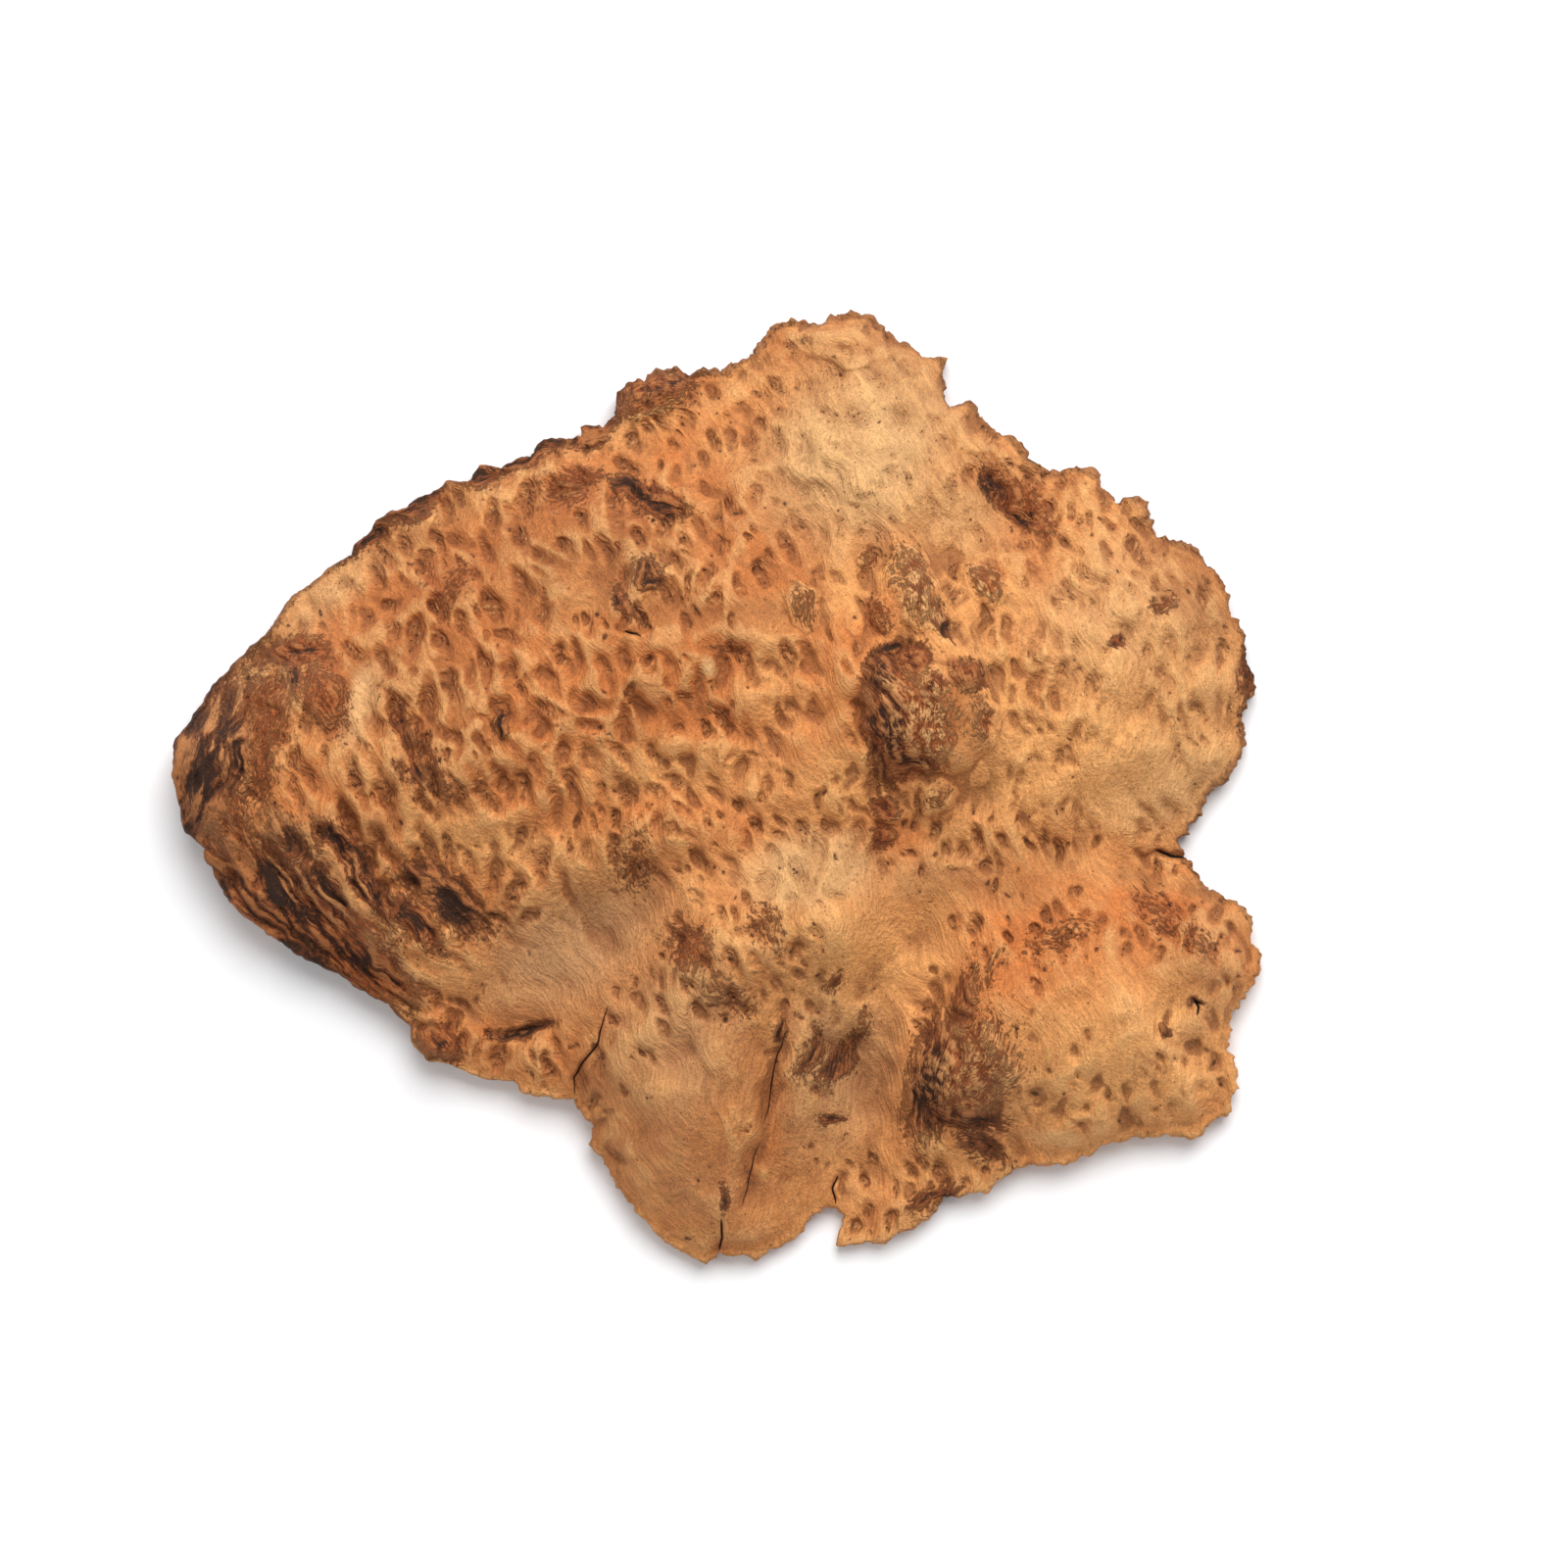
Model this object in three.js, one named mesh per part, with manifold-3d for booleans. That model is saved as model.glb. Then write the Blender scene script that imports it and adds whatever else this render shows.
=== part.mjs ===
// Mallee burl cap: one piece of wood that was sawn off a burl. Its underside is the flat saw cut,
// and its top is the burl's own surface, a set of grown-together lobes covered with small buds.
// Millimetres, +Z up. The origin is the middle of the outline, on the saw cut.
import * as THREE from "three";
import { mergeVertices } from "three/addons/utils/BufferGeometryUtils.js";
import Module from "manifold-3d";

// Driving dimensions
const CAP_WIDTH = 380; // left tip to right lobe
const GRID_STEP = 4.7; // spacing of the surface points
const LOBE_UNION = 5; // higher makes sharper valleys between lobes
const KNOB_SQUARE = 1.5; // higher gives the knobs flatter tops and steeper sides
const RELIEF_FADE = 1.5; // how soon the relief is at its full height, going in from the edge
const LEAST_WALL = 0.7; // share of the wall's height that no hollow goes below
// Slow unevenness of the whole top: waves that bend, each bend slower than the waves by a share
const SWELL = { height: 1.6, length: 31, bend: 1.5, slow: 0.57 };
// Buds are long along the way the wood flows. Each has its own size, from least up by as much as range
const BUDS = {
  pitch: 11, long: 9.5, wide: 6.5, turn: -64, height: 3.6, least: 0.65, range: 0.5, clear: 5, seed: 41,
};

// The edge as seen from above, in the pixels of a 1600 pixel square view with y running down.
// It goes round by way of the left tip, the south, the east and the crown. wall is the height
// of the natural edge above the saw cut where each stretch starts, and round is how far in from
// there the top is still curving over, both in millimetres.
const EDGE = [
  {
    name: "left tip", wall: 14, round: 26,
    points: [
      [282, 640], [257, 664], [244, 676], [221, 701], [198, 739], [184, 756], [182, 790],
      [186, 819], [192, 844],
    ],
  },
  {
    name: "lower left flank", wall: 20, round: 24,
    points: [
      [215, 864], [213, 875], [226, 895], [239, 916], [262, 941], [293, 961], [313, 977],
      [349, 993], [377, 1012], [400, 1023],
    ],
  },
  {
    name: "lower left foot", wall: 13, round: 30,
    points: [
      [408, 1035], [421, 1047], [423, 1062], [437, 1080], [462, 1085], [482, 1095], [513, 1103],
      [528, 1106], [536, 1116], [556, 1117], [587, 1120],
    ],
  },
  {
    name: "south lobe", wall: 8, round: 40,
    points: [
      [598, 1137], [608, 1149], [604, 1169], [619, 1183], [630, 1209], [645, 1227], [660, 1247],
      [683, 1265], [707, 1282], [720, 1287], [733, 1277], [748, 1281], [762, 1279], [771, 1283],
      [783, 1274], [804, 1265], [820, 1256],
    ],
  },
  {
    name: "south notch", wall: 6, round: 46,
    points: [
      [821, 1244], [842, 1231], [853, 1230], [862, 1241], [856, 1256], [856, 1269], [886, 1266],
      [903, 1267], [921, 1256], [938, 1245], [954, 1235], [964, 1221], [983, 1219], [1004, 1216],
    ],
  },
  {
    name: "south east bay", wall: 10, round: 34,
    points: [
      [1018, 1203], [1031, 1192], [1050, 1185], [1085, 1188], [1109, 1176], [1136, 1164], [1157, 1158],
      [1184, 1157], [1219, 1159],
    ],
  },
  {
    name: "south east lobe", wall: 8, round: 38,
    points: [
      [1231, 1150], [1251, 1133], [1259, 1111], [1254, 1090], [1253, 1070], [1256, 1031], [1268, 1017],
      [1282, 996], [1288, 976], [1279, 961], [1275, 938], [1262, 921], [1244, 919], [1230, 908],
      [1221, 891],
    ],
  },
  {
    name: "east notch", wall: 6, round: 46,
    points: [
      [1208, 878], [1211, 870], [1203, 858], [1224, 848], [1212, 843], [1227, 838], [1224, 826],
    ],
  },
  {
    name: "right lobe", wall: 6, round: 52,
    points: [
      [1231, 806], [1250, 791], [1269, 763], [1264, 742], [1267, 724], [1277, 708], [1275, 687],
      [1268, 669], [1270, 652], [1257, 618], [1249, 598], [1238, 579], [1221, 565], [1203, 558],
      [1183, 549],
    ],
  },
  {
    name: "upper right", wall: 5, round: 60,
    points: [
      [1169, 529], [1169, 514], [1151, 506], [1137, 508], [1123, 501], [1121, 485], [1099, 479],
      [1079, 484], [1063, 486], [1058, 476], [1047, 469], [1038, 454], [1020, 440], [1000, 433],
      [993, 422], [990, 411], [972, 411],
    ],
  },
  {
    name: "crown", wall: 6, round: 46,
    points: [
      [965, 403], [961, 384], [962, 368], [934, 357], [919, 350], [900, 342], [888, 324],
      [868, 323], [847, 327], [827, 333], [807, 329], [789, 337], [779, 354],
    ],
  },
  {
    name: "upper left", wall: 8, round: 40,
    points: [
      [770, 365], [763, 364], [743, 383], [722, 381], [702, 385], [687, 379], [666, 384],
      [646, 389], [636, 402], [631, 428], [616, 439], [598, 439], [596, 447], [574, 447],
      [558, 453], [545, 466], [524, 468], [512, 480], [491, 477], [479, 491], [456, 494],
      [445, 503], [428, 509], [417, 519], [397, 525], [387, 532], [376, 548], [364, 558],
      [360, 568], [338, 581], [323, 593], [300, 611],
    ],
  },
];

// The lobes that make the dome: long and wide are half-height radii and height is above the saw
// cut, in millimetres. turn is in degrees, counter-clockwise from +X. Places are in view pixels.
const LOBES = [
  { name: "body", at: [740, 750], long: 140, wide: 105, turn: 8, height: 47 },
  { name: "left lobe", at: [430, 770], long: 88, wide: 50, turn: 16, height: 57 },
  { name: "middle lobe", at: [690, 655], long: 88, wide: 58, turn: 14, height: 61 },
  { name: "crown lobe", at: [880, 500], long: 52, wide: 48, turn: 70, height: 48 },
  { name: "heart", at: [915, 690], long: 48, wide: 42, turn: 0, height: 58 },
  { name: "right lobe", at: [1110, 670], long: 62, wide: 54, turn: 70, height: 45 },
  { name: "saddle hump", at: [810, 940], long: 44, wide: 25, turn: 8, height: 53 },
  { name: "south lobe", at: [715, 1060], long: 60, wide: 44, turn: 80, height: 44 },
  { name: "south east lobe", at: [1110, 1020], long: 52, wide: 42, turn: 10, height: 45 },
];

// Knobs that stand out of the lobes, and hollows, whose height is below zero.
const KNOBS = [
  { name: "heart knob", at: [945, 735], long: 25, wide: 21, turn: 0, height: 13 },
  { name: "upper heart knob", at: [930, 605], long: 17, wide: 11, turn: -70, height: 6 },
  { name: "eyed knob", at: [1000, 598], long: 11, wide: 9, turn: -60, height: 5 },
  { name: "south east knob", at: [985, 1095], long: 20, wide: 18, turn: 60, height: 15 },
  { name: "step above south east knob", at: [1000, 985], long: 22, wide: 10, turn: -80, height: 6 },
  { name: "crown knob", at: [862, 352], long: 19, wide: 11, turn: -8, height: 5 },
  { name: "upper left knob", at: [668, 402], long: 14, wide: 10, turn: 20, height: 9 },
  { name: "tip knob", at: [225, 770], long: 22, wide: 16, turn: 70, height: 8 },
  { name: "tip shoulder", at: [322, 700], long: 16, wide: 14, turn: -50, height: 6 },
  { name: "flank shoulder", at: [400, 935], long: 40, wide: 13, turn: -35, height: 8 },
  { name: "foot knob", at: [446, 1062], long: 9, wide: 7, turn: -30, height: 6 },
  { name: "south bulge", at: [735, 985], long: 21, wide: 15, turn: -30, height: 6 },
  { name: "left of the valley", at: [650, 850], long: 26, wide: 10, turn: 20, height: 4 },
  { name: "south east shoulder", at: [1215, 960], long: 16, wide: 11, turn: 60, height: 6 },
  { name: "red hollow", at: [1032, 512], long: 14, wide: 10, turn: -45, height: -8 },
  { name: "ring hollow", at: [970, 545], long: 14, wide: 8, turn: -15, height: -3 },
  { name: "slit", at: [530, 1052], long: 12, wide: 5, turn: 14, height: -6 },
  { name: "valley to the foot", at: [560, 985], long: 50, wide: 18, turn: 40, height: -7 },
  { name: "south valley", at: [905, 1040], long: 62, wide: 18, turn: 82, height: -8 },
  { name: "east valley", at: [1120, 880], long: 48, wide: 12, turn: -2, height: -6 },
  { name: "south crease", at: [787, 1120], long: 34, wide: 7, turn: 80, height: -4 },
  { name: "dip under the crown", at: [760, 450], long: 30, wide: 14, turn: 20, height: -4 },
];

// Smooth places with no buds on them, in view pixels and millimetres.
const SMOOTH = [
  { name: "valley", at: [590, 985], long: 46, wide: 26, turn: 30 },
  { name: "south face", at: [730, 1170], long: 44, wide: 44, turn: 60 },
  { name: "saddle and south valley", at: [890, 960], long: 56, wide: 26, turn: 80 },
  { name: "east valley", at: [1110, 830], long: 46, wide: 12, turn: 5 },
  { name: "south east flat", at: [1150, 1010], long: 30, wide: 16, turn: 10 },
  { name: "tip flat", at: [365, 720], long: 14, wide: 11, turn: 60 },
];

const corners = EDGE.flatMap((stretch, i) => {
  const next = EDGE[(i + 1) % EDGE.length];
  return stretch.points.map(([px, py], j) => ({
    px,
    py,
    wall: THREE.MathUtils.lerp(stretch.wall, next.wall, j / stretch.points.length),
    round: THREE.MathUtils.lerp(stretch.round, next.round, j / stretch.points.length),
  }));
});
const view = new THREE.Box2().setFromPoints(corners.map((c) => new THREE.Vector2(c.px, c.py)));
const viewMiddle = view.getCenter(new THREE.Vector2());
const MM_PER_PIXEL = CAP_WIDTH / (view.max.x - view.min.x);

function place([px, py]) {
  return new THREE.Vector2(px - viewMiddle.x, viewMiddle.y - py).multiplyScalar(MM_PER_PIXEL);
}

const edge = corners.map((c) => ({ at: place([c.px, c.py]), wall: c.wall, round: c.round }));
const edgeShape = new THREE.Shape(edge.map((e) => e.at));

function placed(feature) {
  return { ...feature, centre: place(feature.at), angle: THREE.MathUtils.degToRad(feature.turn) };
}

const lobes = LOBES.map(placed);
const knobs = KNOBS.map(placed);
const smoothPlaces = SMOOTH.map(placed);

// Squared distance from a feature's centre, where 1 is its own ellipse.
function spread(feature, x, y) {
  const dx = x - feature.centre.x;
  const dy = y - feature.centre.y;
  const c = Math.cos(feature.angle);
  const s = Math.sin(feature.angle);
  return ((dx * c + dy * s) / feature.long) ** 2 + ((dy * c - dx * s) / feature.wide) ** 2;
}

// How deep a point lies inside the edge, and the wall and rounding of the edge nearest to it.
function nearestEdge(x, y) {
  let best = { gap: Infinity };
  let inside = false;
  edge.forEach((a, i) => {
    const b = edge[(i + 1) % edge.length];
    const along = b.at.clone().sub(a.at);
    const share = THREE.MathUtils.clamp(
      ((x - a.at.x) * along.x + (y - a.at.y) * along.y) / along.lengthSq(), 0, 1);
    const gap = Math.hypot(x - a.at.x - along.x * share, y - a.at.y - along.y * share);
    if (gap < best.gap) {
      const wall = THREE.MathUtils.lerp(a.wall, b.wall, share);
      best = { gap, wall, round: THREE.MathUtils.lerp(a.round, b.round, share) };
    }
    const crosses = a.at.y > y !== b.at.y > y;
    if (crosses && x < a.at.x + ((y - a.at.y) / along.y) * along.x) inside = !inside;
  });
  return { depth: inside ? best.gap : 0, wall: best.wall, round: best.round };
}

// A repeatable stream of numbers from 0 to 1.
function seeded(seed) {
  let state = seed;
  return () => {
    state = (state + 0x6d2b79f5) | 0;
    let t = Math.imul(state ^ (state >>> 15), 1 | state);
    t = (t + Math.imul(t ^ (t >>> 7), 61 | t)) ^ t;
    return ((t ^ (t >>> 14)) >>> 0) / 4294967296;
  };
}

function budAt(x, y, size) {
  return {
    centre: new THREE.Vector2(x, y),
    angle: THREE.MathUtils.degToRad(BUDS.turn),
    long: BUDS.long * size,
    wide: BUDS.wide * size,
    height: BUDS.height * size,
  };
}

// Buds on a jittered grid, left out of the smooth places and of the rim itself.
function scatterBuds() {
  const random = seeded(BUDS.seed);
  const box = new THREE.Box2().setFromPoints(edge.map((e) => e.at));
  const buds = [];
  for (let y = box.min.y; y < box.max.y; y += BUDS.pitch) {
    for (let x = box.min.x; x < box.max.x; x += BUDS.pitch) {
      const bx = x + BUDS.pitch * random();
      const by = y + BUDS.pitch * random();
      const size = BUDS.least + BUDS.range * random();
      const bare = smoothPlaces.some((p) => spread(p, bx, by) < 1);
      if (!bare && nearestEdge(bx, by).depth > BUDS.clear) buds.push(budAt(bx, by, size));
    }
  }
  return buds;
}

const buds = scatterBuds();

function budHeight(x, y) {
  return buds.reduce((top, bud) => Math.max(top, bud.height * (1 - spread(bud, x, y))), 0);
}

function swell(x, y) {
  const k = (2 * Math.PI) / SWELL.length;
  const across = Math.sin(k * x + SWELL.bend * Math.sin(SWELL.slow * k * y));
  const along = Math.sin(k * y + SWELL.bend * Math.sin(SWELL.slow * k * x));
  return (SWELL.height * (across + along)) / 2;
}

function topHeight(x, y) {
  const { depth, wall, round } = nearestEdge(x, y);
  const toEdge = 1 - Math.min(depth / round, 1);
  const rise = Math.sqrt(1 - toEdge * toEdge);
  const united = lobes.reduce(
    (sum, lobe) => sum + (lobe.height * Math.exp(-Math.LN2 * spread(lobe, x, y))) ** LOBE_UNION, 0);
  const dome = united ** (1 / LOBE_UNION);
  const knobbed = knobs.reduce(
    (sum, knob) => sum + knob.height * Math.exp(-(spread(knob, x, y) ** KNOB_SQUARE)), 0);
  const relief = knobbed + swell(x, y) + budHeight(x, y);
  const grown = THREE.MathUtils.lerp(wall, Math.max(dome, wall), rise);
  return Math.max(grown + relief * Math.min(1, rise * RELIEF_FADE), wall * LEAST_WALL);
}

const wasm = await Module();
wasm.setup();

function solidOf(geometry) {
  geometry.deleteAttribute("normal");
  geometry.deleteAttribute("uv");
  const merged = mergeVertices(geometry);
  return new wasm.Manifold(new wasm.Mesh({
    numProp: 3,
    vertProperties: merged.attributes.position.array,
    triVerts: new Uint32Array(merged.index.array),
  }));
}

function geometryOf(solid) {
  const mesh = solid.getMesh();
  const geometry = new THREE.BufferGeometry();
  geometry.setAttribute("position", new THREE.BufferAttribute(mesh.vertProperties, 3));
  geometry.setIndex(new THREE.BufferAttribute(mesh.triVerts, 1));
  geometry.computeVertexNormals();
  return geometry;
}

// A block whose top is the burl's surface, reaching a little past the edge on all sides.
function surfaceBlock() {
  const size = new THREE.Box2().setFromPoints(edge.map((e) => e.at)).getSize(new THREE.Vector2());
  const across = Math.ceil(size.x / GRID_STEP) + 2;
  const deep = Math.ceil(size.y / GRID_STEP) + 2;
  const block = new THREE.BoxGeometry(across * GRID_STEP, deep * GRID_STEP, 2 * GRID_STEP, across, deep, 1);
  const point = block.attributes.position;
  for (let i = 0; i < point.count; i++) {
    if (point.getZ(i) > 0) point.setZ(i, topHeight(point.getX(i), point.getY(i)));
  }
  return block;
}

function burlCap() {
  const tallest = Math.max(...LOBES.map((lobe) => lobe.height));
  const outline = new THREE.ExtrudeGeometry(edgeShape, { depth: 2 * tallest, bevelEnabled: false });
  const wood = solidOf(surfaceBlock()).intersect(solidOf(outline));
  const material = new THREE.MeshStandardMaterial({ color: 0xc8894f, roughness: 0.82, metalness: 0 });
  const mesh = new THREE.Mesh(geometryOf(wood), material);
  mesh.name = "burl_cap";
  return mesh;
}

const part = new THREE.Group();
part.add(burlCap());

export default part;
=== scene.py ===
"""Looks of the mallee burl cap: the sawn-off cap of a burl, with its own natural surface on top."""

import math

import bpy
import numpy as np
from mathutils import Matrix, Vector
from mathutils.bvhtree import BVHTree


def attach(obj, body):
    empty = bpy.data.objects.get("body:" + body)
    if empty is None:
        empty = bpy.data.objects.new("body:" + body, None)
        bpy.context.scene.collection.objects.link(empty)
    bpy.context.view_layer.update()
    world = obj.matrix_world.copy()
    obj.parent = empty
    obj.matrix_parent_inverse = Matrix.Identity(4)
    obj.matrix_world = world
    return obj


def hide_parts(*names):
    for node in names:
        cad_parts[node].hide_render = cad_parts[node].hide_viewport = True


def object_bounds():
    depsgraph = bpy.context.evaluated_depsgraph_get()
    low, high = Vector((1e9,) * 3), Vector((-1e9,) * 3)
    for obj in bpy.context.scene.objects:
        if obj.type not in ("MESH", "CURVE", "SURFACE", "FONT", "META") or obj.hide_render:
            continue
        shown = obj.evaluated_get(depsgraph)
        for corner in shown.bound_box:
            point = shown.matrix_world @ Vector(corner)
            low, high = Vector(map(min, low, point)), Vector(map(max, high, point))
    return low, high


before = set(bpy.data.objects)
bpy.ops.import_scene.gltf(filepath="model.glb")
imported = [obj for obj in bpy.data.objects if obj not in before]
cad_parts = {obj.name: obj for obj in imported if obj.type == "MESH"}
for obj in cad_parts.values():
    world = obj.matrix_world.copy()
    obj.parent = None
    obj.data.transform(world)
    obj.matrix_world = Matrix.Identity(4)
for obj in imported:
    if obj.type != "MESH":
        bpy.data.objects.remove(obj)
CAD_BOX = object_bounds()

# Lengths in this script are millimetres unless a name says otherwise. The frame is in metres.
MM = 0.001
CELL = 0.4  # spacing of the relief map
COARSE = 2.0  # spacing of the points read off the frame
MESH_STEP = 0.62  # spacing of the surface before it is thinned
MESH_TRIANGLES = 194000
WALL_RINGS = 9
RIM_ROUNDS = 14  # rounds in which the surface is drawn out to the rim
RAGGED_FROM = 9  # the round from which the rim is ragged
FLAP_SIZE = 9
TOOTH_SIZE = 3.4

# The photograph's frame, in its own pixels, and the pixel over the part's origin.
VIEW_SIZE = 1600
VIEW_ORIGIN = (735, 805)
CAP_PIXELS = 1106  # left tip to right lobe
MM_PER_PIXEL = (CAD_BOX[1].x - CAD_BOX[0].x) / MM / CAP_PIXELS

# How the burl's fibres run, in degrees counter-clockwise from +X.
FLOW_TURN = -64

# Bud pods: at is in view pixels and the style holds around it. length and width are half
# sizes, with length along turn.
POD_STYLES = [
    {"at": (420, 790), "length": 8.0, "width": 2.5, "depth": 3.0, "turn": -72},
    {"at": (350, 870), "length": 9.0, "width": 2.6, "depth": 3.0, "turn": -58},
    {"at": (330, 620), "length": 4.6, "width": 2.2, "depth": 1.7, "turn": -70},
    {"at": (470, 640), "length": 5.0, "width": 2.4, "depth": 2.5, "turn": -65},
    {"at": (600, 760), "length": 4.6, "width": 2.5, "depth": 2.5, "turn": -70},
    {"at": (560, 870), "length": 6.0, "width": 2.2, "depth": 2.1, "turn": -75},
    {"at": (700, 840), "length": 4.4, "width": 2.1, "depth": 2.3, "turn": -62},
    {"at": (780, 720), "length": 5.0, "width": 2.3, "depth": 2.3, "turn": -64},
    {"at": (640, 590), "length": 5.6, "width": 2.3, "depth": 2.4, "turn": -66},
    {"at": (780, 570), "length": 4.4, "width": 1.9, "depth": 1.8, "turn": -68},
    {"at": (730, 430), "length": 3.6, "width": 2.2, "depth": 1.5, "turn": -60},
    {"at": (870, 420), "length": 4.4, "width": 3.0, "depth": 1.4, "turn": -30},
    {"at": (960, 500), "length": 4.0, "width": 2.3, "depth": 1.4, "turn": -60},
    {"at": (1130, 560), "length": 4.0, "width": 2.0, "depth": 1.8, "turn": -75},
    {"at": (1120, 690), "length": 4.4, "width": 2.3, "depth": 2.0, "turn": -95},
    {"at": (1220, 720), "length": 5.5, "width": 2.2, "depth": 2.3, "turn": -80},
    {"at": (1040, 850), "length": 3.6, "width": 1.6, "depth": 2.0, "turn": -90},
    {"at": (1080, 955), "length": 3.2, "width": 1.9, "depth": 1.9, "turn": -75},
    {"at": (1120, 1110), "length": 3.0, "width": 2.2, "depth": 1.9, "turn": -90},
    {"at": (700, 960), "length": 3.6, "width": 2.0, "depth": 2.2, "turn": -70},
    {"at": (835, 970), "length": 4.0, "width": 2.2, "depth": 2.2, "turn": -60},
]
POD_SCALE = {"length": 1.3, "width": 1.12, "depth": 1.1}
POD_ROOM = 1.02  # distance between two pods, in their own sizes
POD_TRIES = 16000
POD_TILT = 44  # degrees over which their lie varies
POD_GROWTH = {"first": 1.25, "fall": 0.9}  # size of the first pods, and how much less the last have
POD_FROM_RIM = 2.5
STYLE_BLEND = 6
PINHOLE_TRIES = 5200
POD_SEED = 17

# Where each kind of noise starts its draws.
SEEDS = {
    "warp_x": 201,
    "fine_warp_x": 209,
    "warp_y": 205,
    "fine_warp_y": 211,
    "swirl_x": 301,
    "fine_swirl_x": 307,
    "swirl_y": 311,
    "fine_swirl_y": 317,
    "groups": 221,
    "gaps": 227,
    "fibre": 401,
    "lumps": 411,
    "swell": 431,
    "bulge": 437,
    "creases": 451,
    "nodules": 461,
    "scabs": 421,
    "beads": 441,
    "crack_x": 501,
    "crack_y": 503,
    "flaps": 601,
    "teeth": 607,
    "wall": 611,
}

# Small relief on the solid's ground: how high or deep it is, how far across, and how many times
# longer it is along the fibres.
SWELL = {"height": 2.2, "across": 30}
BULGE = {"height": 1.8, "across": 13}
LUMPS = {"height": 0.4, "bark": 0.9, "across": 9}
FIBRE = {"height": 0.12, "across": 2.2, "longer": 7}
CREASES = {"depth": 0.5, "across": 7, "longer": 2.6}
BEADS = {"height": 1.2, "across": 2.6, "longer": 1.4}
NODULES = {"across": 3.0, "longer": 1.6}
SCABS = {"height": 0.9, "across": 3.2, "longer": 4.5}
PINHOLE_DEPTH = 0.7
LEAST_HEIGHT = 2.5  # of the rim above the saw cut

# Knobs that stand out with a steep edge, on top of the swellings that the solid has.
KNOBS = [
    {"at": (947, 736), "long": 25, "wide": 19.5, "turn": -8, "height": 4.4},
    {"at": (932, 677), "long": 4.6, "wide": 4.2, "turn": 0, "height": 3.0},
    {"at": (954, 704), "long": 3.2, "wide": 2.8, "turn": 0, "height": 5.6},
    {"at": (987, 695), "long": 7.0, "wide": 5.0, "turn": -60, "height": 6.0},
    {"at": (905, 694), "long": 7.0, "wide": 4.6, "turn": -80, "height": 5.8},
    {"at": (957, 814), "long": 7.0, "wide": 5.4, "turn": 40, "height": 2.4},
    {"at": (996, 793), "long": 4.4, "wide": 3.2, "turn": 60, "height": 1.8},
    {"at": (818, 623), "long": 10, "wide": 6.4, "turn": -80, "height": 2.4},
    {"at": (871, 637), "long": 6.0, "wide": 3.0, "turn": -75, "height": 1.8},
    {"at": (894, 630), "long": 6.6, "wide": 3.2, "turn": -72, "height": 2.0},
    {"at": (883, 573), "long": 3.6, "wide": 3.2, "turn": 0, "height": 2.0},
    {"at": (827, 707), "long": 9.0, "wide": 6.0, "turn": -70, "height": 1.8},
    {"at": (1012, 658), "long": 8.0, "wide": 5.0, "turn": -60, "height": 1.6},
    {"at": (1062, 690), "long": 9.0, "wide": 6.0, "turn": -80, "height": 1.6},
    {"at": (985, 1094), "long": 19, "wide": 16, "turn": 60, "height": 4.0},
    {"at": (932, 603), "long": 17, "wide": 9, "turn": -68, "height": 3.0},
    {"at": (1000, 597), "long": 11, "wide": 7, "turn": -55, "height": 2.4},
    {"at": (905, 826), "long": 8, "wide": 6, "turn": 0, "height": 2.0},
    {"at": (668, 403), "long": 14, "wide": 9, "turn": 15, "height": 3.0},
    {"at": (862, 352), "long": 16, "wide": 10, "turn": -5, "height": 2.6},
    {"at": (970, 545), "long": 9, "wide": 6, "turn": -10, "height": 1.6},
    {"at": (446, 1063), "long": 9, "wide": 6, "turn": -30, "height": 3.0},
    {"at": (325, 705), "long": 15, "wide": 10, "turn": -55, "height": 2.6},
    {"at": (736, 985), "long": 16, "wide": 12, "turn": -30, "height": 2.0},
]

# Knobs that are rounder in the solid than on the burl, and how far they are lowered.
EASED = [
    {"at": (895, 1012), "long": 26, "wide": 15, "turn": 0, "drop": -3.0},
    {"at": (945, 735), "long": 25, "wide": 21, "turn": 0, "drop": 7.0},
    {"at": (985, 1095), "long": 20, "wide": 18, "turn": 60, "drop": 5.0},
]

# Places on the right-hand lobes where the buds stand close together all the same.
BUDDED = [
    {"at": (1035, 858), "long": 28, "wide": 13, "turn": 0, "share": 1.0},
    {"at": (1080, 950), "long": 14, "wide": 9, "turn": 20, "share": 1.0},
    {"at": (1195, 962), "long": 20, "wide": 13, "turn": -40, "share": 1.0},
    {"at": (1125, 1118), "long": 38, "wide": 9, "turn": 4, "share": 1.0},
    {"at": (1120, 540), "long": 34, "wide": 24, "turn": -30, "share": 0.9},
    {"at": (1060, 690), "long": 22, "wide": 22, "turn": 0, "share": 0.9},
    {"at": (1215, 720), "long": 18, "wide": 26, "turn": 0, "share": 0.9},
]

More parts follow.
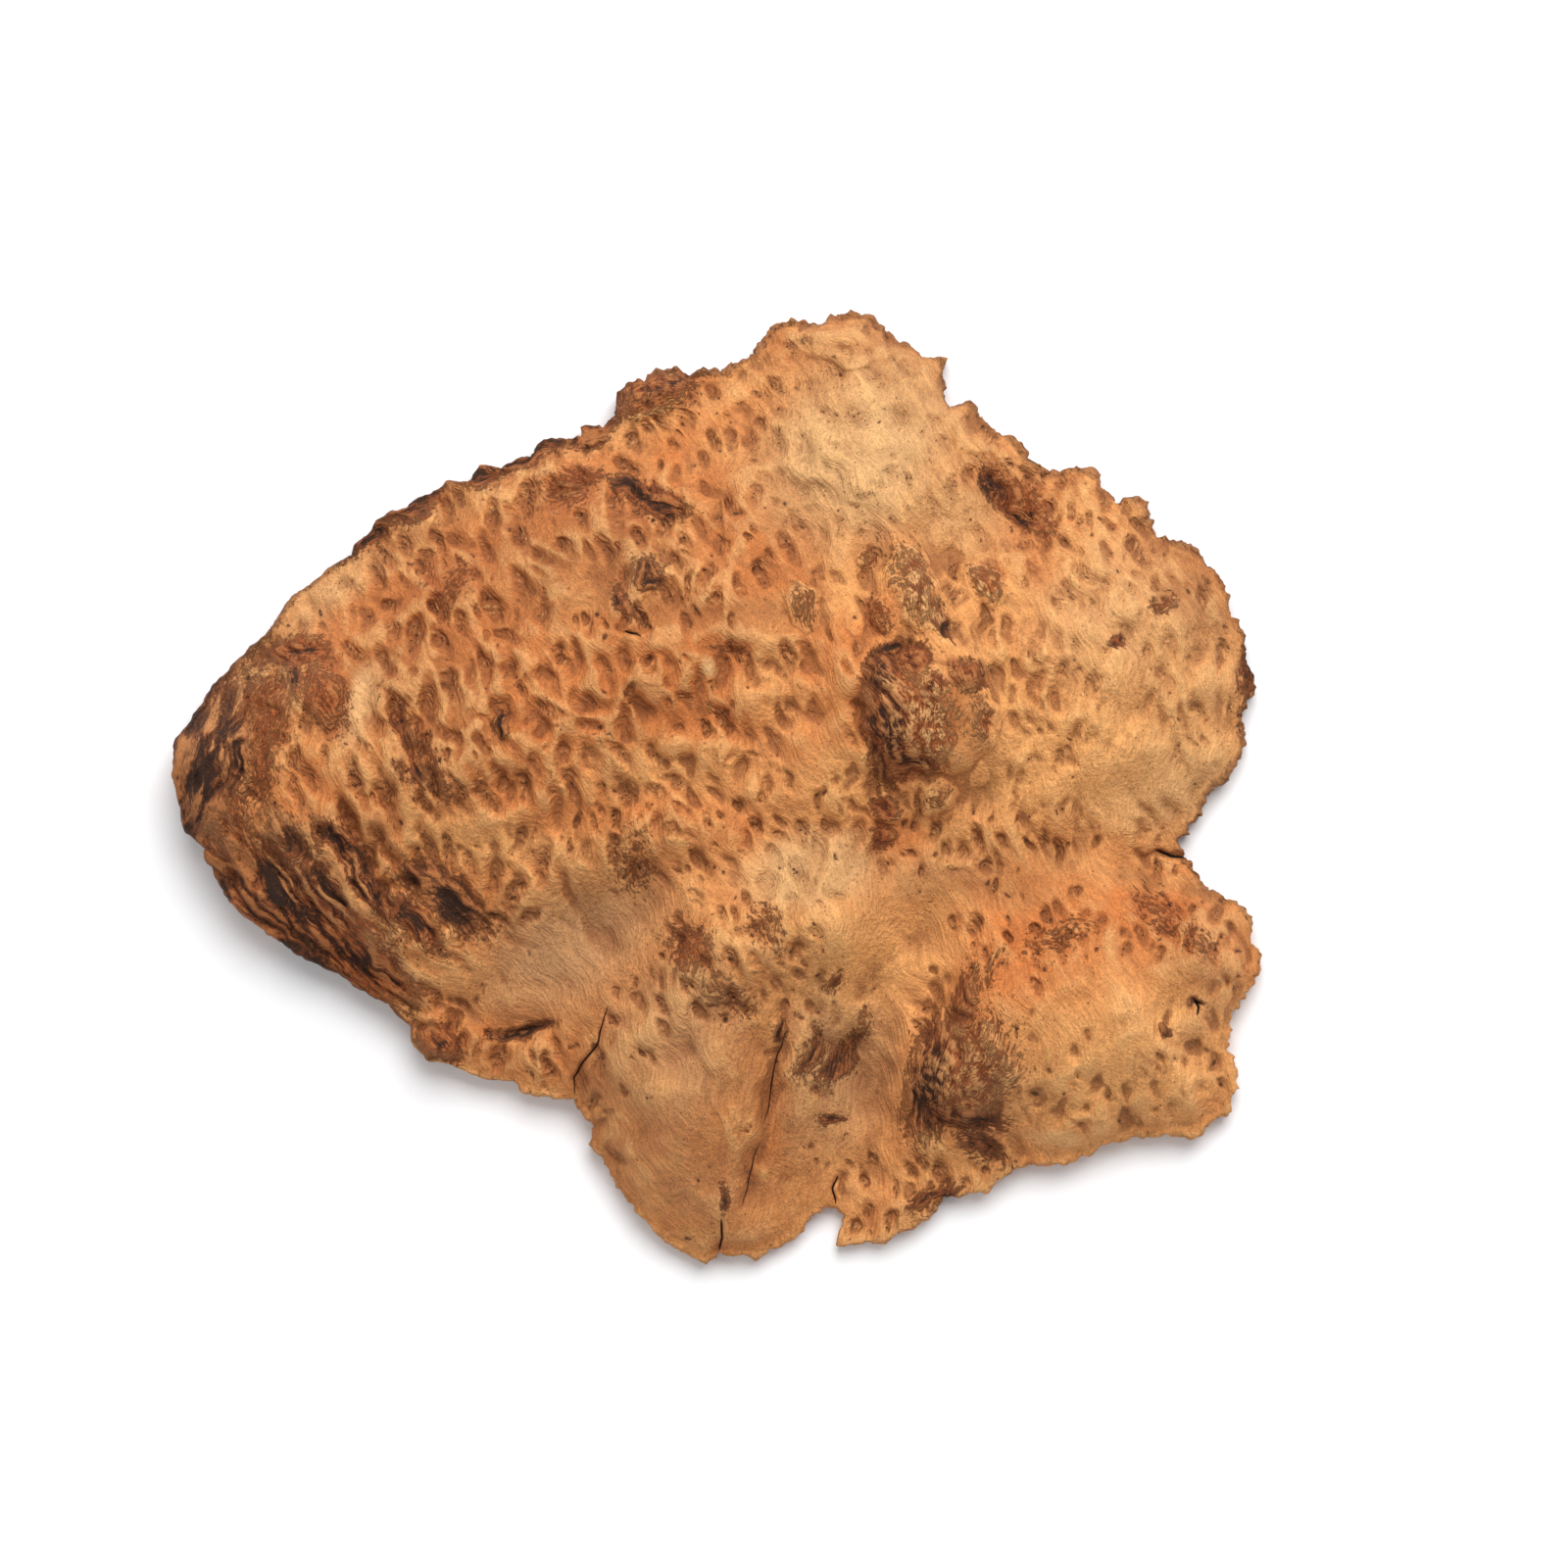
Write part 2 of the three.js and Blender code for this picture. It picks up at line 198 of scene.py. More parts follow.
# Places with few buds or none: share is how many are left out.
SMOOTH = [
    {"at": (590, 985), "long": 50, "wide": 22, "turn": 40, "share": 1.0},
    {"at": (730, 1170), "long": 54, "wide": 44, "turn": 90, "share": 1.0},
    {"at": (905, 935), "long": 30, "wide": 18, "turn": 40, "share": 0.95},
    {"at": (890, 1070), "long": 54, "wide": 20, "turn": 82, "share": 1.0},
    {"at": (1130, 800), "long": 44, "wide": 9, "turn": 8, "share": 0.9},
    {"at": (1110, 900), "long": 50, "wide": 7, "turn": -5, "share": 0.9},
    {"at": (1150, 1020), "long": 36, "wide": 17, "turn": 8, "share": 0.85},
    {"at": (365, 720), "long": 16, "wide": 9, "turn": 70, "share": 1.0},
    {"at": (290, 800), "long": 40, "wide": 26, "turn": 60, "share": 0.7},
    {"at": (330, 930), "long": 44, "wide": 16, "turn": -35, "share": 0.8},
    {"at": (945, 730), "long": 26, "wide": 22, "turn": 0, "share": 0.9},
    {"at": (830, 775), "long": 34, "wide": 8, "turn": 60, "share": 0.9},
    {"at": (540, 830), "long": 46, "wide": 6, "turn": -16, "share": 0.6},
    {"at": (840, 640), "long": 28, "wide": 7, "turn": -50, "share": 0.7},
    {"at": (600, 615), "long": 20, "wide": 11, "turn": -20, "share": 0.95},
    {"at": (810, 625), "long": 28, "wide": 9, "turn": -8, "share": 0.95},
    {"at": (710, 440), "long": 22, "wide": 12, "turn": 30, "share": 0.5},
]

# Dark bark and weathered knobs: dark is how black, red how rusty.
BARK = [
    {"at": (218, 778), "long": 36, "wide": 17, "turn": 68, "dark": 0.72, "red": 0.2},
    {"at": (302, 694), "long": 6, "wide": 2.2, "turn": -80, "dark": 1.0, "red": 0.1},
    {"at": (208, 806), "long": 14, "wide": 7, "turn": 80, "dark": 1.0, "red": 0.1},
    {"at": (248, 770), "long": 9, "wide": 4, "turn": -80, "dark": 0.95, "red": 0.1},
    {"at": (346, 858), "long": 10, "wide": 3.4, "turn": -60, "dark": 0.8, "red": 0.4},
    {"at": (426, 786), "long": 7, "wide": 4.6, "turn": -66, "dark": 0.85, "red": 0.3},
    {"at": (304, 666), "long": 12, "wide": 5, "turn": 10, "dark": 0.8, "red": 0.7},
    {"at": (336, 712), "long": 13, "wide": 8, "turn": -62, "dark": 0.6, "red": 1.0},
    {"at": (280, 735), "long": 15, "wide": 8, "turn": -84, "dark": 0.46, "red": 1.0},
    {"at": (272, 785), "long": 10, "wide": 8, "turn": -70, "dark": 0.55, "red": 0.6},
    {"at": (340, 912), "long": 14, "wide": 5, "turn": -50, "dark": 0.8, "red": 0.3},
    {"at": (250, 856), "long": 14, "wide": 7, "turn": -60, "dark": 0.6, "red": 0.7},
    {"at": (305, 935), "long": 46, "wide": 19, "turn": -42, "dark": 0.74, "red": 0.4},
    {"at": (346, 948), "long": 17, "wide": 9, "turn": -30, "dark": 0.62, "red": 1.0},
    {"at": (290, 905), "long": 16, "wide": 5, "turn": -52, "dark": 1.0, "red": 0.1},
    {"at": (370, 890), "long": 22, "wide": 6.4, "turn": -54, "dark": 0.85, "red": 0.4},
    {"at": (430, 942), "long": 11, "wide": 5, "turn": -40, "dark": 0.8, "red": 0.5},
    {"at": (458, 915), "long": 17, "wide": 7, "turn": -38, "dark": 0.9, "red": 0.1},
    {"at": (300, 850), "long": 14, "wide": 5, "turn": -50, "dark": 0.7, "red": 0.2},
    {"at": (380, 985), "long": 19, "wide": 8, "turn": -30, "dark": 0.8, "red": 0.8},
    {"at": (446, 1063), "long": 9, "wide": 6, "turn": -30, "dark": 0.85, "red": 0.6},
    {"at": (530, 1052), "long": 11, "wide": 2.4, "turn": 14, "dark": 1.0, "red": 0.1},
    {"at": (668, 402), "long": 13, "wide": 7, "turn": 14, "dark": 0.85, "red": 0.4},
    {"at": (688, 390), "long": 6, "wide": 3, "turn": 20, "dark": 1.0, "red": 0.1},
    {"at": (668, 513), "long": 12, "wide": 5, "turn": -18, "dark": 0.85, "red": 0.5},
    {"at": (640, 498), "long": 5, "wide": 4, "turn": 0, "dark": 0.9, "red": 0.2},
    {"at": (497, 486), "long": 6, "wide": 4, "turn": 10, "dark": 0.75, "red": 0.4},
    {"at": (425, 520), "long": 11, "wide": 4, "turn": 25, "dark": 0.6, "red": 0.4},
    {"at": (385, 548), "long": 12, "wide": 3, "turn": 35, "dark": 0.6, "red": 0.4},
    {"at": (545, 466), "long": 14, "wide": 3, "turn": 22, "dark": 0.66, "red": 0.4},
    {"at": (605, 446), "long": 9, "wide": 4, "turn": 25, "dark": 0.7, "red": 0.4},
    {"at": (580, 502), "long": 9, "wide": 7, "turn": 20, "dark": 0.5, "red": 1.0},
    {"at": (455, 600), "long": 10, "wide": 7, "turn": 40, "dark": 0.52, "red": 0.7},
    {"at": (420, 760), "long": 19, "wide": 4, "turn": -66, "dark": 0.62, "red": 0.5},
    {"at": (453, 786), "long": 13, "wide": 3.4, "turn": -66, "dark": 0.48, "red": 0.6},
    {"at": (400, 848), "long": 11, "wide": 3.4, "turn": -60, "dark": 0.52, "red": 0.6},
    {"at": (519, 740), "long": 4.4, "wide": 2.4, "turn": 70, "dark": 1.0, "red": 0.2},
    {"at": (662, 590), "long": 6, "wide": 5, "turn": 90, "dark": 0.72, "red": 0.1},
    {"at": (664, 602), "long": 2.6, "wide": 1.8, "turn": 0, "dark": 1.0, "red": 0.0},
    {"at": (638, 622), "long": 8, "wide": 2.6, "turn": -64, "dark": 0.8, "red": 0.3},
    {"at": (658, 640), "long": 6, "wide": 2.4, "turn": -64, "dark": 0.75, "red": 0.3},
    {"at": (934, 735), "long": 17, "wide": 14, "turn": -84, "dark": 0.6, "red": 1.0},
    {"at": (888, 738), "long": 13, "wide": 3.4, "turn": 88, "dark": 0.9, "red": 0.3},
    {"at": (908, 746), "long": 16, "wide": 7, "turn": 86, "dark": 1.0, "red": 0.2},
    {"at": (924, 776), "long": 11, "wide": 4.4, "turn": -10, "dark": 0.95, "red": 0.1},
    {"at": (903, 695), "long": 9, "wide": 7, "turn": -80, "dark": 0.9, "red": 0.3},
    {"at": (932, 677), "long": 5.6, "wide": 5.2, "turn": -70, "dark": 0.85, "red": 0.6},
    {"at": (954, 704), "long": 4.2, "wide": 3.8, "turn": -70, "dark": 0.85, "red": 0.5},
    {"at": (987, 694), "long": 7, "wide": 5.4, "turn": -60, "dark": 0.75, "red": 0.5},
    {"at": (1000, 740), "long": 9, "wide": 3.4, "turn": -84, "dark": 0.5, "red": 1.0},
    {"at": (957, 814), "long": 5, "wide": 3, "turn": 60, "dark": 0.45, "red": 0.5},
    {"at": (883, 573), "long": 3.4, "wide": 3, "turn": -60, "dark": 0.75, "red": 0.4},
    {"at": (818, 625), "long": 9, "wide": 5, "turn": -80, "dark": 0.45, "red": 0.5},
    {"at": (893, 630), "long": 7, "wide": 4, "turn": -72, "dark": 0.45, "red": 1.0},
    {"at": (907, 667), "long": 4, "wide": 3, "turn": 0, "dark": 0.95, "red": 0.3},
    {"at": (930, 600), "long": 15, "wide": 7, "turn": -66, "dark": 0.55, "red": 0.5},
    {"at": (958, 640), "long": 6, "wide": 2, "turn": -60, "dark": 0.9, "red": 0.2},
    {"at": (1004, 595), "long": 8, "wide": 5, "turn": -50, "dark": 0.6, "red": 0.6},
    {"at": (903, 826), "long": 5.6, "wide": 4, "turn": -10, "dark": 0.85, "red": 0.5},
    {"at": (900, 857), "long": 6, "wide": 4, "turn": 20, "dark": 0.6, "red": 0.7},
    {"at": (1036, 510), "long": 11, "wide": 6, "turn": -45, "dark": 0.55, "red": 1.0},
    {"at": (1012, 500), "long": 6, "wide": 3, "turn": -60, "dark": 1.0, "red": 0.1},
    {"at": (1048, 528), "long": 10, "wide": 3, "turn": -22, "dark": 0.95, "red": 0.4},
    {"at": (985, 1094), "long": 20, "wide": 16, "turn": 60, "dark": 0.58, "red": 0.5},
    {"at": (952, 1102), "long": 19, "wide": 8, "turn": 78, "dark": 1.0, "red": 0.1},
    {"at": (985, 1140), "long": 14, "wide": 4, "turn": -8, "dark": 0.9, "red": 0.3},
    {"at": (984, 1018), "long": 13, "wide": 3.6, "turn": 82, "dark": 0.62, "red": 0.6},
    {"at": (1010, 985), "long": 10, "wide": 4, "turn": 60, "dark": 0.36, "red": 0.6},
    {"at": (1000, 1170), "long": 10, "wide": 5, "turn": -30, "dark": 0.6, "red": 0.2},
    {"at": (866, 1068), "long": 12, "wide": 4.4, "turn": 50, "dark": 0.57, "red": 0.3},
    {"at": (852, 1086), "long": 10, "wide": 5, "turn": 42, "dark": 0.62, "red": 0.2},
    {"at": (824, 1078), "long": 10, "wide": 4, "turn": 62, "dark": 0.62, "red": 0.2},
    {"at": (880, 1040), "long": 7, "wide": 2, "turn": 62, "dark": 0.5, "red": 0.4},
    {"at": (848, 1141), "long": 5, "wide": 2, "turn": -10, "dark": 0.7, "red": 0.4},
    {"at": (795, 1052), "long": 4, "wide": 2.4, "turn": 60, "dark": 0.8, "red": 0.3},
    {"at": (702, 965), "long": 9, "wide": 8, "turn": -50, "dark": 0.55, "red": 0.5},
    {"at": (745, 1015), "long": 12, "wide": 7, "turn": -40, "dark": 0.42, "red": 0.3},
    {"at": (786, 945), "long": 9, "wide": 6, "turn": -60, "dark": 0.4, "red": 0.5},
    {"at": (852, 1002), "long": 5, "wide": 2.6, "turn": 60, "dark": 0.55, "red": 0.3},
    {"at": (1078, 955), "long": 14, "wide": 6, "turn": 24, "dark": 0.34, "red": 0.5},
    {"at": (1178, 930), "long": 12, "wide": 7, "turn": -50, "dark": 0.34, "red": 1.0},
    {"at": (1222, 962), "long": 10, "wide": 5, "turn": -40, "dark": 0.34, "red": 0.9},
    {"at": (652, 882), "long": 12, "wide": 8, "turn": -70, "dark": 0.38, "red": 0.5},
    {"at": (738, 1218), "long": 7, "wide": 1.4, "turn": 88, "dark": 0.6, "red": 0.3},
    {"at": (950, 1225), "long": 11, "wide": 4, "turn": 30, "dark": 0.6, "red": 0.3},
    {"at": (1270, 690), "long": 10, "wide": 3, "turn": 90, "dark": 0.55, "red": 0.4},
    {"at": (1186, 620), "long": 6, "wide": 4, "turn": 40, "dark": 0.46, "red": 0.6},
    {"at": (1130, 657), "long": 3, "wide": 2, "turn": 0, "dark": 0.7, "red": 0.5},
    {"at": (748, 666), "long": 7, "wide": 2, "turn": -4, "dark": 0.6, "red": 0.9},
    {"at": (600, 490), "long": 7, "wide": 4, "turn": 0, "dark": 0.5, "red": 1.0},
    {"at": (1220, 1022), "long": 3, "wide": 1.2, "turn": -30, "dark": 1.0, "red": 0.1},
    {"at": (1187, 1050), "long": 3, "wide": 1.4, "turn": -40, "dark": 1.0, "red": 0.1},
]

# Broad tones of the bare wood, each from 0 to 1. The light tone is painted light on slopes that the relief
# leaves in shade, and the dun tone is partly painted shade.
TONES = {
    "pale": [
        {"at": (878, 464), "long": 37, "wide": 29, "turn": 40, "much": 0.9},
        {"at": (825, 890), "long": 22, "wide": 13, "turn": 10, "much": 1.0},
        {"at": (372, 722), "long": 15, "wide": 7, "turn": 70, "much": 0.9},
        {"at": (335, 605), "long": 22, "wide": 9, "turn": 40, "much": 0.6},
        {"at": (970, 530), "long": 26, "wide": 14, "turn": -15, "much": 0.6},
        {"at": (1130, 640), "long": 30, "wide": 30, "turn": 0, "much": 0.55},
        {"at": (1180, 790), "long": 36, "wide": 18, "turn": 10, "much": 0.8},
        {"at": (1170, 690), "long": 26, "wide": 30, "turn": 0, "much": 0.5},
        {"at": (1020, 780), "long": 20, "wide": 14, "turn": 0, "much": 0.4},
        {"at": (720, 688), "long": 4, "wide": 3, "turn": -40, "much": 0.9},
        {"at": (1080, 1165), "long": 12, "wide": 3, "turn": -10, "much": 0.7},
        {"at": (1210, 700), "long": 22, "wide": 30, "turn": 0, "much": 0.4},
    ],
    # Painted light: a lighter colour laid on slopes that the relief leaves in shade.
    "light": [
        {"at": (1150, 1080), "long": 40, "wide": 24, "turn": 10, "much": 0.8},
        {"at": (1230, 740), "long": 24, "wide": 30, "turn": 0, "much": 0.4},
        {"at": (1090, 765), "long": 40, "wide": 22, "turn": 10, "much": 0.9},
        {"at": (1015, 735), "long": 14, "wide": 30, "turn": 0, "much": 0.7},
        {"at": (866, 800), "long": 15, "wide": 13, "turn": 0, "much": 0.8},
        {"at": (960, 640), "long": 30, "wide": 20, "turn": 60, "much": 0.6},
        {"at": (890, 978), "long": 26, "wide": 16, "turn": 0, "much": 1.0},
        {"at": (948, 985), "long": 9, "wide": 16, "turn": 0, "much": 0.8},
        {"at": (480, 855), "long": 32, "wide": 9, "turn": -8, "much": 0.8},
        {"at": (690, 785), "long": 34, "wide": 10, "turn": 0, "much": 0.7},
        {"at": (935, 816), "long": 9, "wide": 7, "turn": 0, "much": 0.7},
        {"at": (1022, 795), "long": 16, "wide": 10, "turn": 0, "much": 0.9},
        {"at": (876, 600), "long": 10, "wide": 12, "turn": 0, "much": 0.7},
        {"at": (790, 705), "long": 9, "wide": 20, "turn": 0, "much": 0.6},
    ],
    "orange": [
        {"at": (450, 650), "long": 48, "wide": 34, "turn": 30, "much": 0.8},
        {"at": (640, 740), "long": 80, "wide": 40, "turn": 10, "much": 0.8},
        {"at": (620, 530), "long": 44, "wide": 22, "turn": 20, "much": 0.7},
        {"at": (775, 560), "long": 26, "wide": 24, "turn": 0, "much": 0.75},
        {"at": (480, 590), "long": 36, "wide": 18, "turn": 35, "much": 0.9},
        {"at": (720, 1160), "long": 40, "wide": 30, "turn": 80, "much": 0.45},
        {"at": (905, 655), "long": 26, "wide": 17, "turn": 50, "much": 1.0},
        {"at": (900, 830), "long": 17, "wide": 16, "turn": 90, "much": 0.9},
        {"at": (975, 748), "long": 14, "wide": 17, "turn": 0, "much": 1.0},
        {"at": (1040, 975), "long": 34, "wide": 22, "turn": 20, "much": 0.8},
        {"at": (1180, 950), "long": 30, "wide": 16, "turn": -20, "much": 0.8},
        {"at": (400, 860), "long": 50, "wide": 20, "turn": -30, "much": 0.7},
        {"at": (520, 1060), "long": 32, "wide": 12, "turn": -10, "much": 0.6},
        {"at": (790, 1160), "long": 12, "wide": 5, "turn": 70, "much": 0.7},
        {"at": (1195, 1100), "long": 24, "wide": 14, "turn": 50, "much": 0.4},
        {"at": (1045, 560), "long": 18, "wide": 10, "turn": -40, "much": 0.6},
    ],
    # The wood's own darker dun tone, with painted shade on slopes below the ridges and in the valleys.
    "dun_and_shade": [
        {"at": (700, 1170), "long": 56, "wide": 44, "turn": 80, "much": 0.55},
        {"at": (480, 590), "long": 40, "wide": 18, "turn": 35, "much": 0.6},
        {"at": (775, 560), "long": 28, "wide": 24, "turn": 0, "much": 0.45},
        {"at": (1030, 874), "long": 26, "wide": 8, "turn": 0, "much": 0.35},
        {"at": (598, 578), "long": 34, "wide": 18, "turn": 15, "much": 1.0},
        {"at": (440, 695), "long": 26, "wide": 22, "turn": 0, "much": 0.9},
        {"at": (770, 632), "long": 14, "wide": 7, "turn": 0, "much": 0.9},
        {"at": (430, 545), "long": 22, "wide": 10, "turn": 35, "much": 0.8},
        {"at": (1215, 615), "long": 18, "wide": 14, "turn": -60, "much": 1.0},
        {"at": (885, 362), "long": 18, "wide": 8, "turn": -20, "much": 0.9},
        {"at": (985, 900), "long": 26, "wide": 6, "turn": 0, "much": 1.0},
        {"at": (1200, 985), "long": 14, "wide": 9, "turn": -30, "much": 0.8},
        {"at": (612, 1012), "long": 14, "wide": 10, "turn": 40, "much": 0.7},
        {"at": (520, 1082), "long": 18, "wide": 6, "turn": -10, "much": 0.9},
        {"at": (803, 1152), "long": 12, "wide": 7, "turn": 70, "much": 0.9},
        {"at": (385, 690), "long": 13, "wide": 12, "turn": 0, "much": 0.8},
        {"at": (475, 745), "long": 17, "wide": 17, "turn": 0, "much": 0.8},
        {"at": (612, 605), "long": 18, "wide": 9, "turn": 0, "much": 0.9},
        {"at": (700, 628), "long": 26, "wide": 7, "turn": 0, "much": 0.8},
        {"at": (882, 872), "long": 14, "wide": 6, "turn": 20, "much": 0.7},
        {"at": (668, 1100), "long": 14, "wide": 16, "turn": 0, "much": 0.7},
    ],
    # Pale flecks on the bark's highest crests, partly painted highlight.
    "fleck_and_highlight": [
        {"at": (955, 740), "long": 13, "wide": 13, "turn": 0, "much": 1.0},
        {"at": (905, 708), "long": 5, "wide": 4, "turn": 0, "much": 0.8},
        {"at": (935, 612), "long": 12, "wide": 6, "turn": -66, "much": 0.9},
        {"at": (1000, 605), "long": 6, "wide": 5, "turn": -66, "much": 0.9},
        {"at": (985, 1085), "long": 14, "wide": 12, "turn": 60, "much": 0.5},
        {"at": (230, 740), "long": 18, "wide": 10, "turn": 60, "much": 0.3},
        {"at": (330, 890), "long": 30, "wide": 12, "turn": -42, "much": 0.4},
    ],
    "grey": [
        {"at": (585, 960), "long": 38, "wide": 20, "turn": 30, "much": 0.8},
        {"at": (690, 1060), "long": 32, "wide": 26, "turn": 80, "much": 0.6},
        {"at": (860, 1060), "long": 44, "wide": 20, "turn": 82, "much": 0.7},
        {"at": (700, 1200), "long": 34, "wide": 20, "turn": -20, "much": 0.35},
        {"at": (940, 890), "long": 26, "wide": 9, "turn": 20, "much": 0.4},
    ],
}

# Smooth ridges that flow between the groups of buds, as lines of view pixels.
RIVERS = [
    {
        "line": [(530, 640), (604, 660), (667, 653), (729, 648), (791, 653), (862, 667)],
        "width": 5.0, "height": 2.4,
    },
    {"line": [(527, 690), (505, 722), (488, 756), (474, 800)], "width": 3.5, "height": 1.8},
    {"line": [(640, 680), (680, 706), (700, 735), (690, 775)], "width": 4.0, "height": 1.8},
    {"line": [(433, 846), (496, 842), (540, 822), (580, 806)], "width": 4.5, "height": 2.0},
    {"line": [(700, 470), (745, 490), (800, 478), (850, 500)], "width": 4.0, "height": 1.6},
    {
        "line": [(850, 520), (868, 580), (858, 640), (862, 690), (850, 760), (838, 800)],
        "width": 6.0, "height": 1.8,
    },
    {
        "line": [(1036, 560), (1046, 610), (1090, 655), (1140, 625), (1155, 575)],
        "width": 5.0, "height": 1.6,
    },
    {"line": [(1030, 790), (1070, 752), (1110, 705)], "width": 5.0, "height": 1.6},
    {
        "line": [(880, 870), (930, 905), (1000, 915), (1080, 905), (1150, 895)],
        "width": 6.0, "height": 1.2,
    },
    {"line": [(330, 640), (380, 650), (430, 620), (470, 570)], "width": 4.0, "height": 1.6},
    {"line": [(560, 520), (590, 570), (590, 620)], "width": 5.0, "height": 1.4},
    {"line": [(338, 862), (352, 890), (368, 918), (384, 940)], "width": 2.4, "height": 1.8},
    {"line": [(300, 800), (340, 820), (380, 812), (400, 850), (425, 880)], "width": 4.0, "height": 1.4},
    {"line": [(395, 700), (404, 745), (420, 780), (428, 815)], "width": 1.8, "height": 1.4},
]

# Long furrows between ridges, as lines of view pixels.
FURROWS = [
    {
        "line": [(806, 1030), (797, 1068), (787, 1110), (778, 1150), (766, 1190), (756, 1236)],
        "width": 3.4, "depth": 2.6,
    },
    {"line": [(386, 690), (383, 745), (398, 795), (413, 862)], "width": 2.2, "depth": 2.4},
    {"line": [(402, 712), (417, 755), (430, 790), (437, 822)], "width": 1.8, "depth": 2.0},
    {"line": [(428, 735), (440, 783), (452, 815)], "width": 1.8, "depth": 2.0},
    {"line": [(462, 720), (474, 770), (490, 810)], "width": 1.8, "depth": 1.8},
    {"line": [(345, 800), (372, 850), (402, 905), (430, 935)], "width": 2.2, "depth": 2.6},
    {"line": [(380, 838), (410, 880), (445, 930)], "width": 2.0, "depth": 2.4},
    {"line": [(270, 850), (310, 900), (352, 950)], "width": 2.0, "depth": 2.2},
    {"line": [(350, 688), (360, 715), (352, 745), (334, 760)], "width": 1.6, "depth": 1.8},
    {"line": [(495, 1060), (530, 1053), (562, 1044)], "width": 1.8, "depth": 4.0},
    {"line": [(878, 700), (876, 740), (888, 780), (925, 796), (970, 790)], "width": 1.8, "depth": 1.4},
    {"line": [(943, 1075), (942, 1110), (955, 1140), (990, 1152)], "width": 2.0, "depth": 1.6},
    {"line": [(1006, 486), (1014, 512), (1040, 528), (1070, 536)], "width": 2.0, "depth": 3.2},
    {"line": [(636, 424), (662, 420), (692, 412)], "width": 1.6, "depth": 2.2},
    {"line": [(1150, 868), (1185, 872), (1212, 872)], "width": 1.6, "depth": 2.2},
]

# Open drying cracks, as lines of view pixels.
CRACKS = [
    {"line": [(587, 1122), (586, 1098), (600, 1078), (611, 1064), (617, 1040), (622, 1022)], "width": 0.26},
    {"line": [(803, 1046), (797, 1068), (789, 1092), (785, 1122), (779, 1148)], "width": 0.2},
    {"line": [(776, 1160), (768, 1186), (762, 1212), (757, 1232)], "width": 0.16},
    {"line": [(1178, 866), (1196, 873), (1212, 874)], "width": 0.45},
    {"line": [(640, 647), (652, 650), (657, 653)], "width": 0.3},
    {"line": [(1216, 1018), (1221, 1026), (1219, 1036)], "width": 0.4},
    {"line": [(735, 1240), (737, 1262), (733, 1278)], "width": 0.35},
    {"line": [(853, 1230), (850, 1214), (855, 1200)], "width": 0.35},
]
BARK_LEAST = 0.02
PATCH_REACH = 2.2
CRACK_DEPTH = 2.2
CRACK_REACH = 3.0


def place(pixel):
    """A view pixel as x and y on the part."""
    return (
        (pixel[0] - VIEW_ORIGIN[0]) * MM_PER_PIXEL,
        (VIEW_ORIGIN[1] - pixel[1]) * MM_PER_PIXEL,
    )


# The relief map: one height or mask for each point of a fine lattice over the outline
MAP_MARGIN = 8
low, high = (np.array(corner) / MM for corner in CAD_BOX)
xs = np.arange(low[0] - MAP_MARGIN, high[0] + MAP_MARGIN, CELL)
ys = np.arange(low[1] - MAP_MARGIN, high[1] + MAP_MARGIN, CELL)
X, Y = np.meshgrid(xs, ys)


def sample(field, x, y, step=CELL):
    """A lattice's value at any place, straight between its points."""
    gx = (x - xs[0]) / step
    gy = (y - ys[0]) / step
    ix = np.clip(gx.astype(int), 0, field.shape[1] - 2)
    iy = np.clip(gy.astype(int), 0, field.shape[0] - 2)
    fx = np.clip(gx - ix, 0, 1)
    fy = np.clip(gy - iy, 0, 1)
    near = field[iy, ix] * (1 - fx) + field[iy, ix + 1] * fx
    far = field[iy + 1, ix] * (1 - fx) + field[iy + 1, ix + 1] * fx
    return near * (1 - fy) + far * fy


def blur(field, radius, step=CELL):
    fy = np.fft.fftfreq(field.shape[0], step)[:, None]
    fx = np.fft.rfftfreq(field.shape[1], step)[None, :]
    kept = np.exp(-2 * (math.pi * radius) ** 2 * (fx**2 + fy**2))
    return np.fft.irfft2(np.fft.rfft2(field) * kept, s=field.shape)


def ramp(value, start, end):
    t = np.clip((value - start) / (end - start), 0, 1)
    return t * t * (3 - 2 * t)


NOISE_TABLE = 64


def noise(x, y, size, seed):
    """Smooth noise from -1 to 1 with bumps about size across."""
    table = np.random.default_rng(seed).uniform(-1, 1, (NOISE_TABLE, NOISE_TABLE))
    gx, gy = x / size, y / size
    ix, iy = np.floor(gx).astype(int), np.floor(gy).astype(int)
    fx, fy = ramp(gx - ix, 0, 1), ramp(gy - iy, 0, 1)
    left, right = ix % NOISE_TABLE, (ix + 1) % NOISE_TABLE
    lower, upper = iy % NOISE_TABLE, (iy + 1) % NOISE_TABLE
    bottom = table[lower, left] * (1 - fx) + table[lower, right] * fx
    top = table[upper, left] * (1 - fx) + table[upper, right] * fx
    return bottom * (1 - fy) + top * fy


def rough(x, y, size, seed, octaves=4):
    """Noise with finer noise on it, from about -1 to 1."""
    total = np.zeros(np.shape(x))
    for k in range(octaves):
        total += noise(x, y, size / 2**k, seed + k) / 2**k
    return total / 1.6


def spread(feature, x, y):
    """Squared distance from a feature's middle, 1 on its own ellipse."""
    mx, my = place(feature["at"])
    turn = math.radians(feature["turn"])
    c, s = math.cos(turn), math.sin(turn)
    along = (x - mx) * c + (y - my) * s
    across = (y - my) * c - (x - mx) * s
    return (along / feature["long"]) ** 2 + (across / feature["wide"]) ** 2


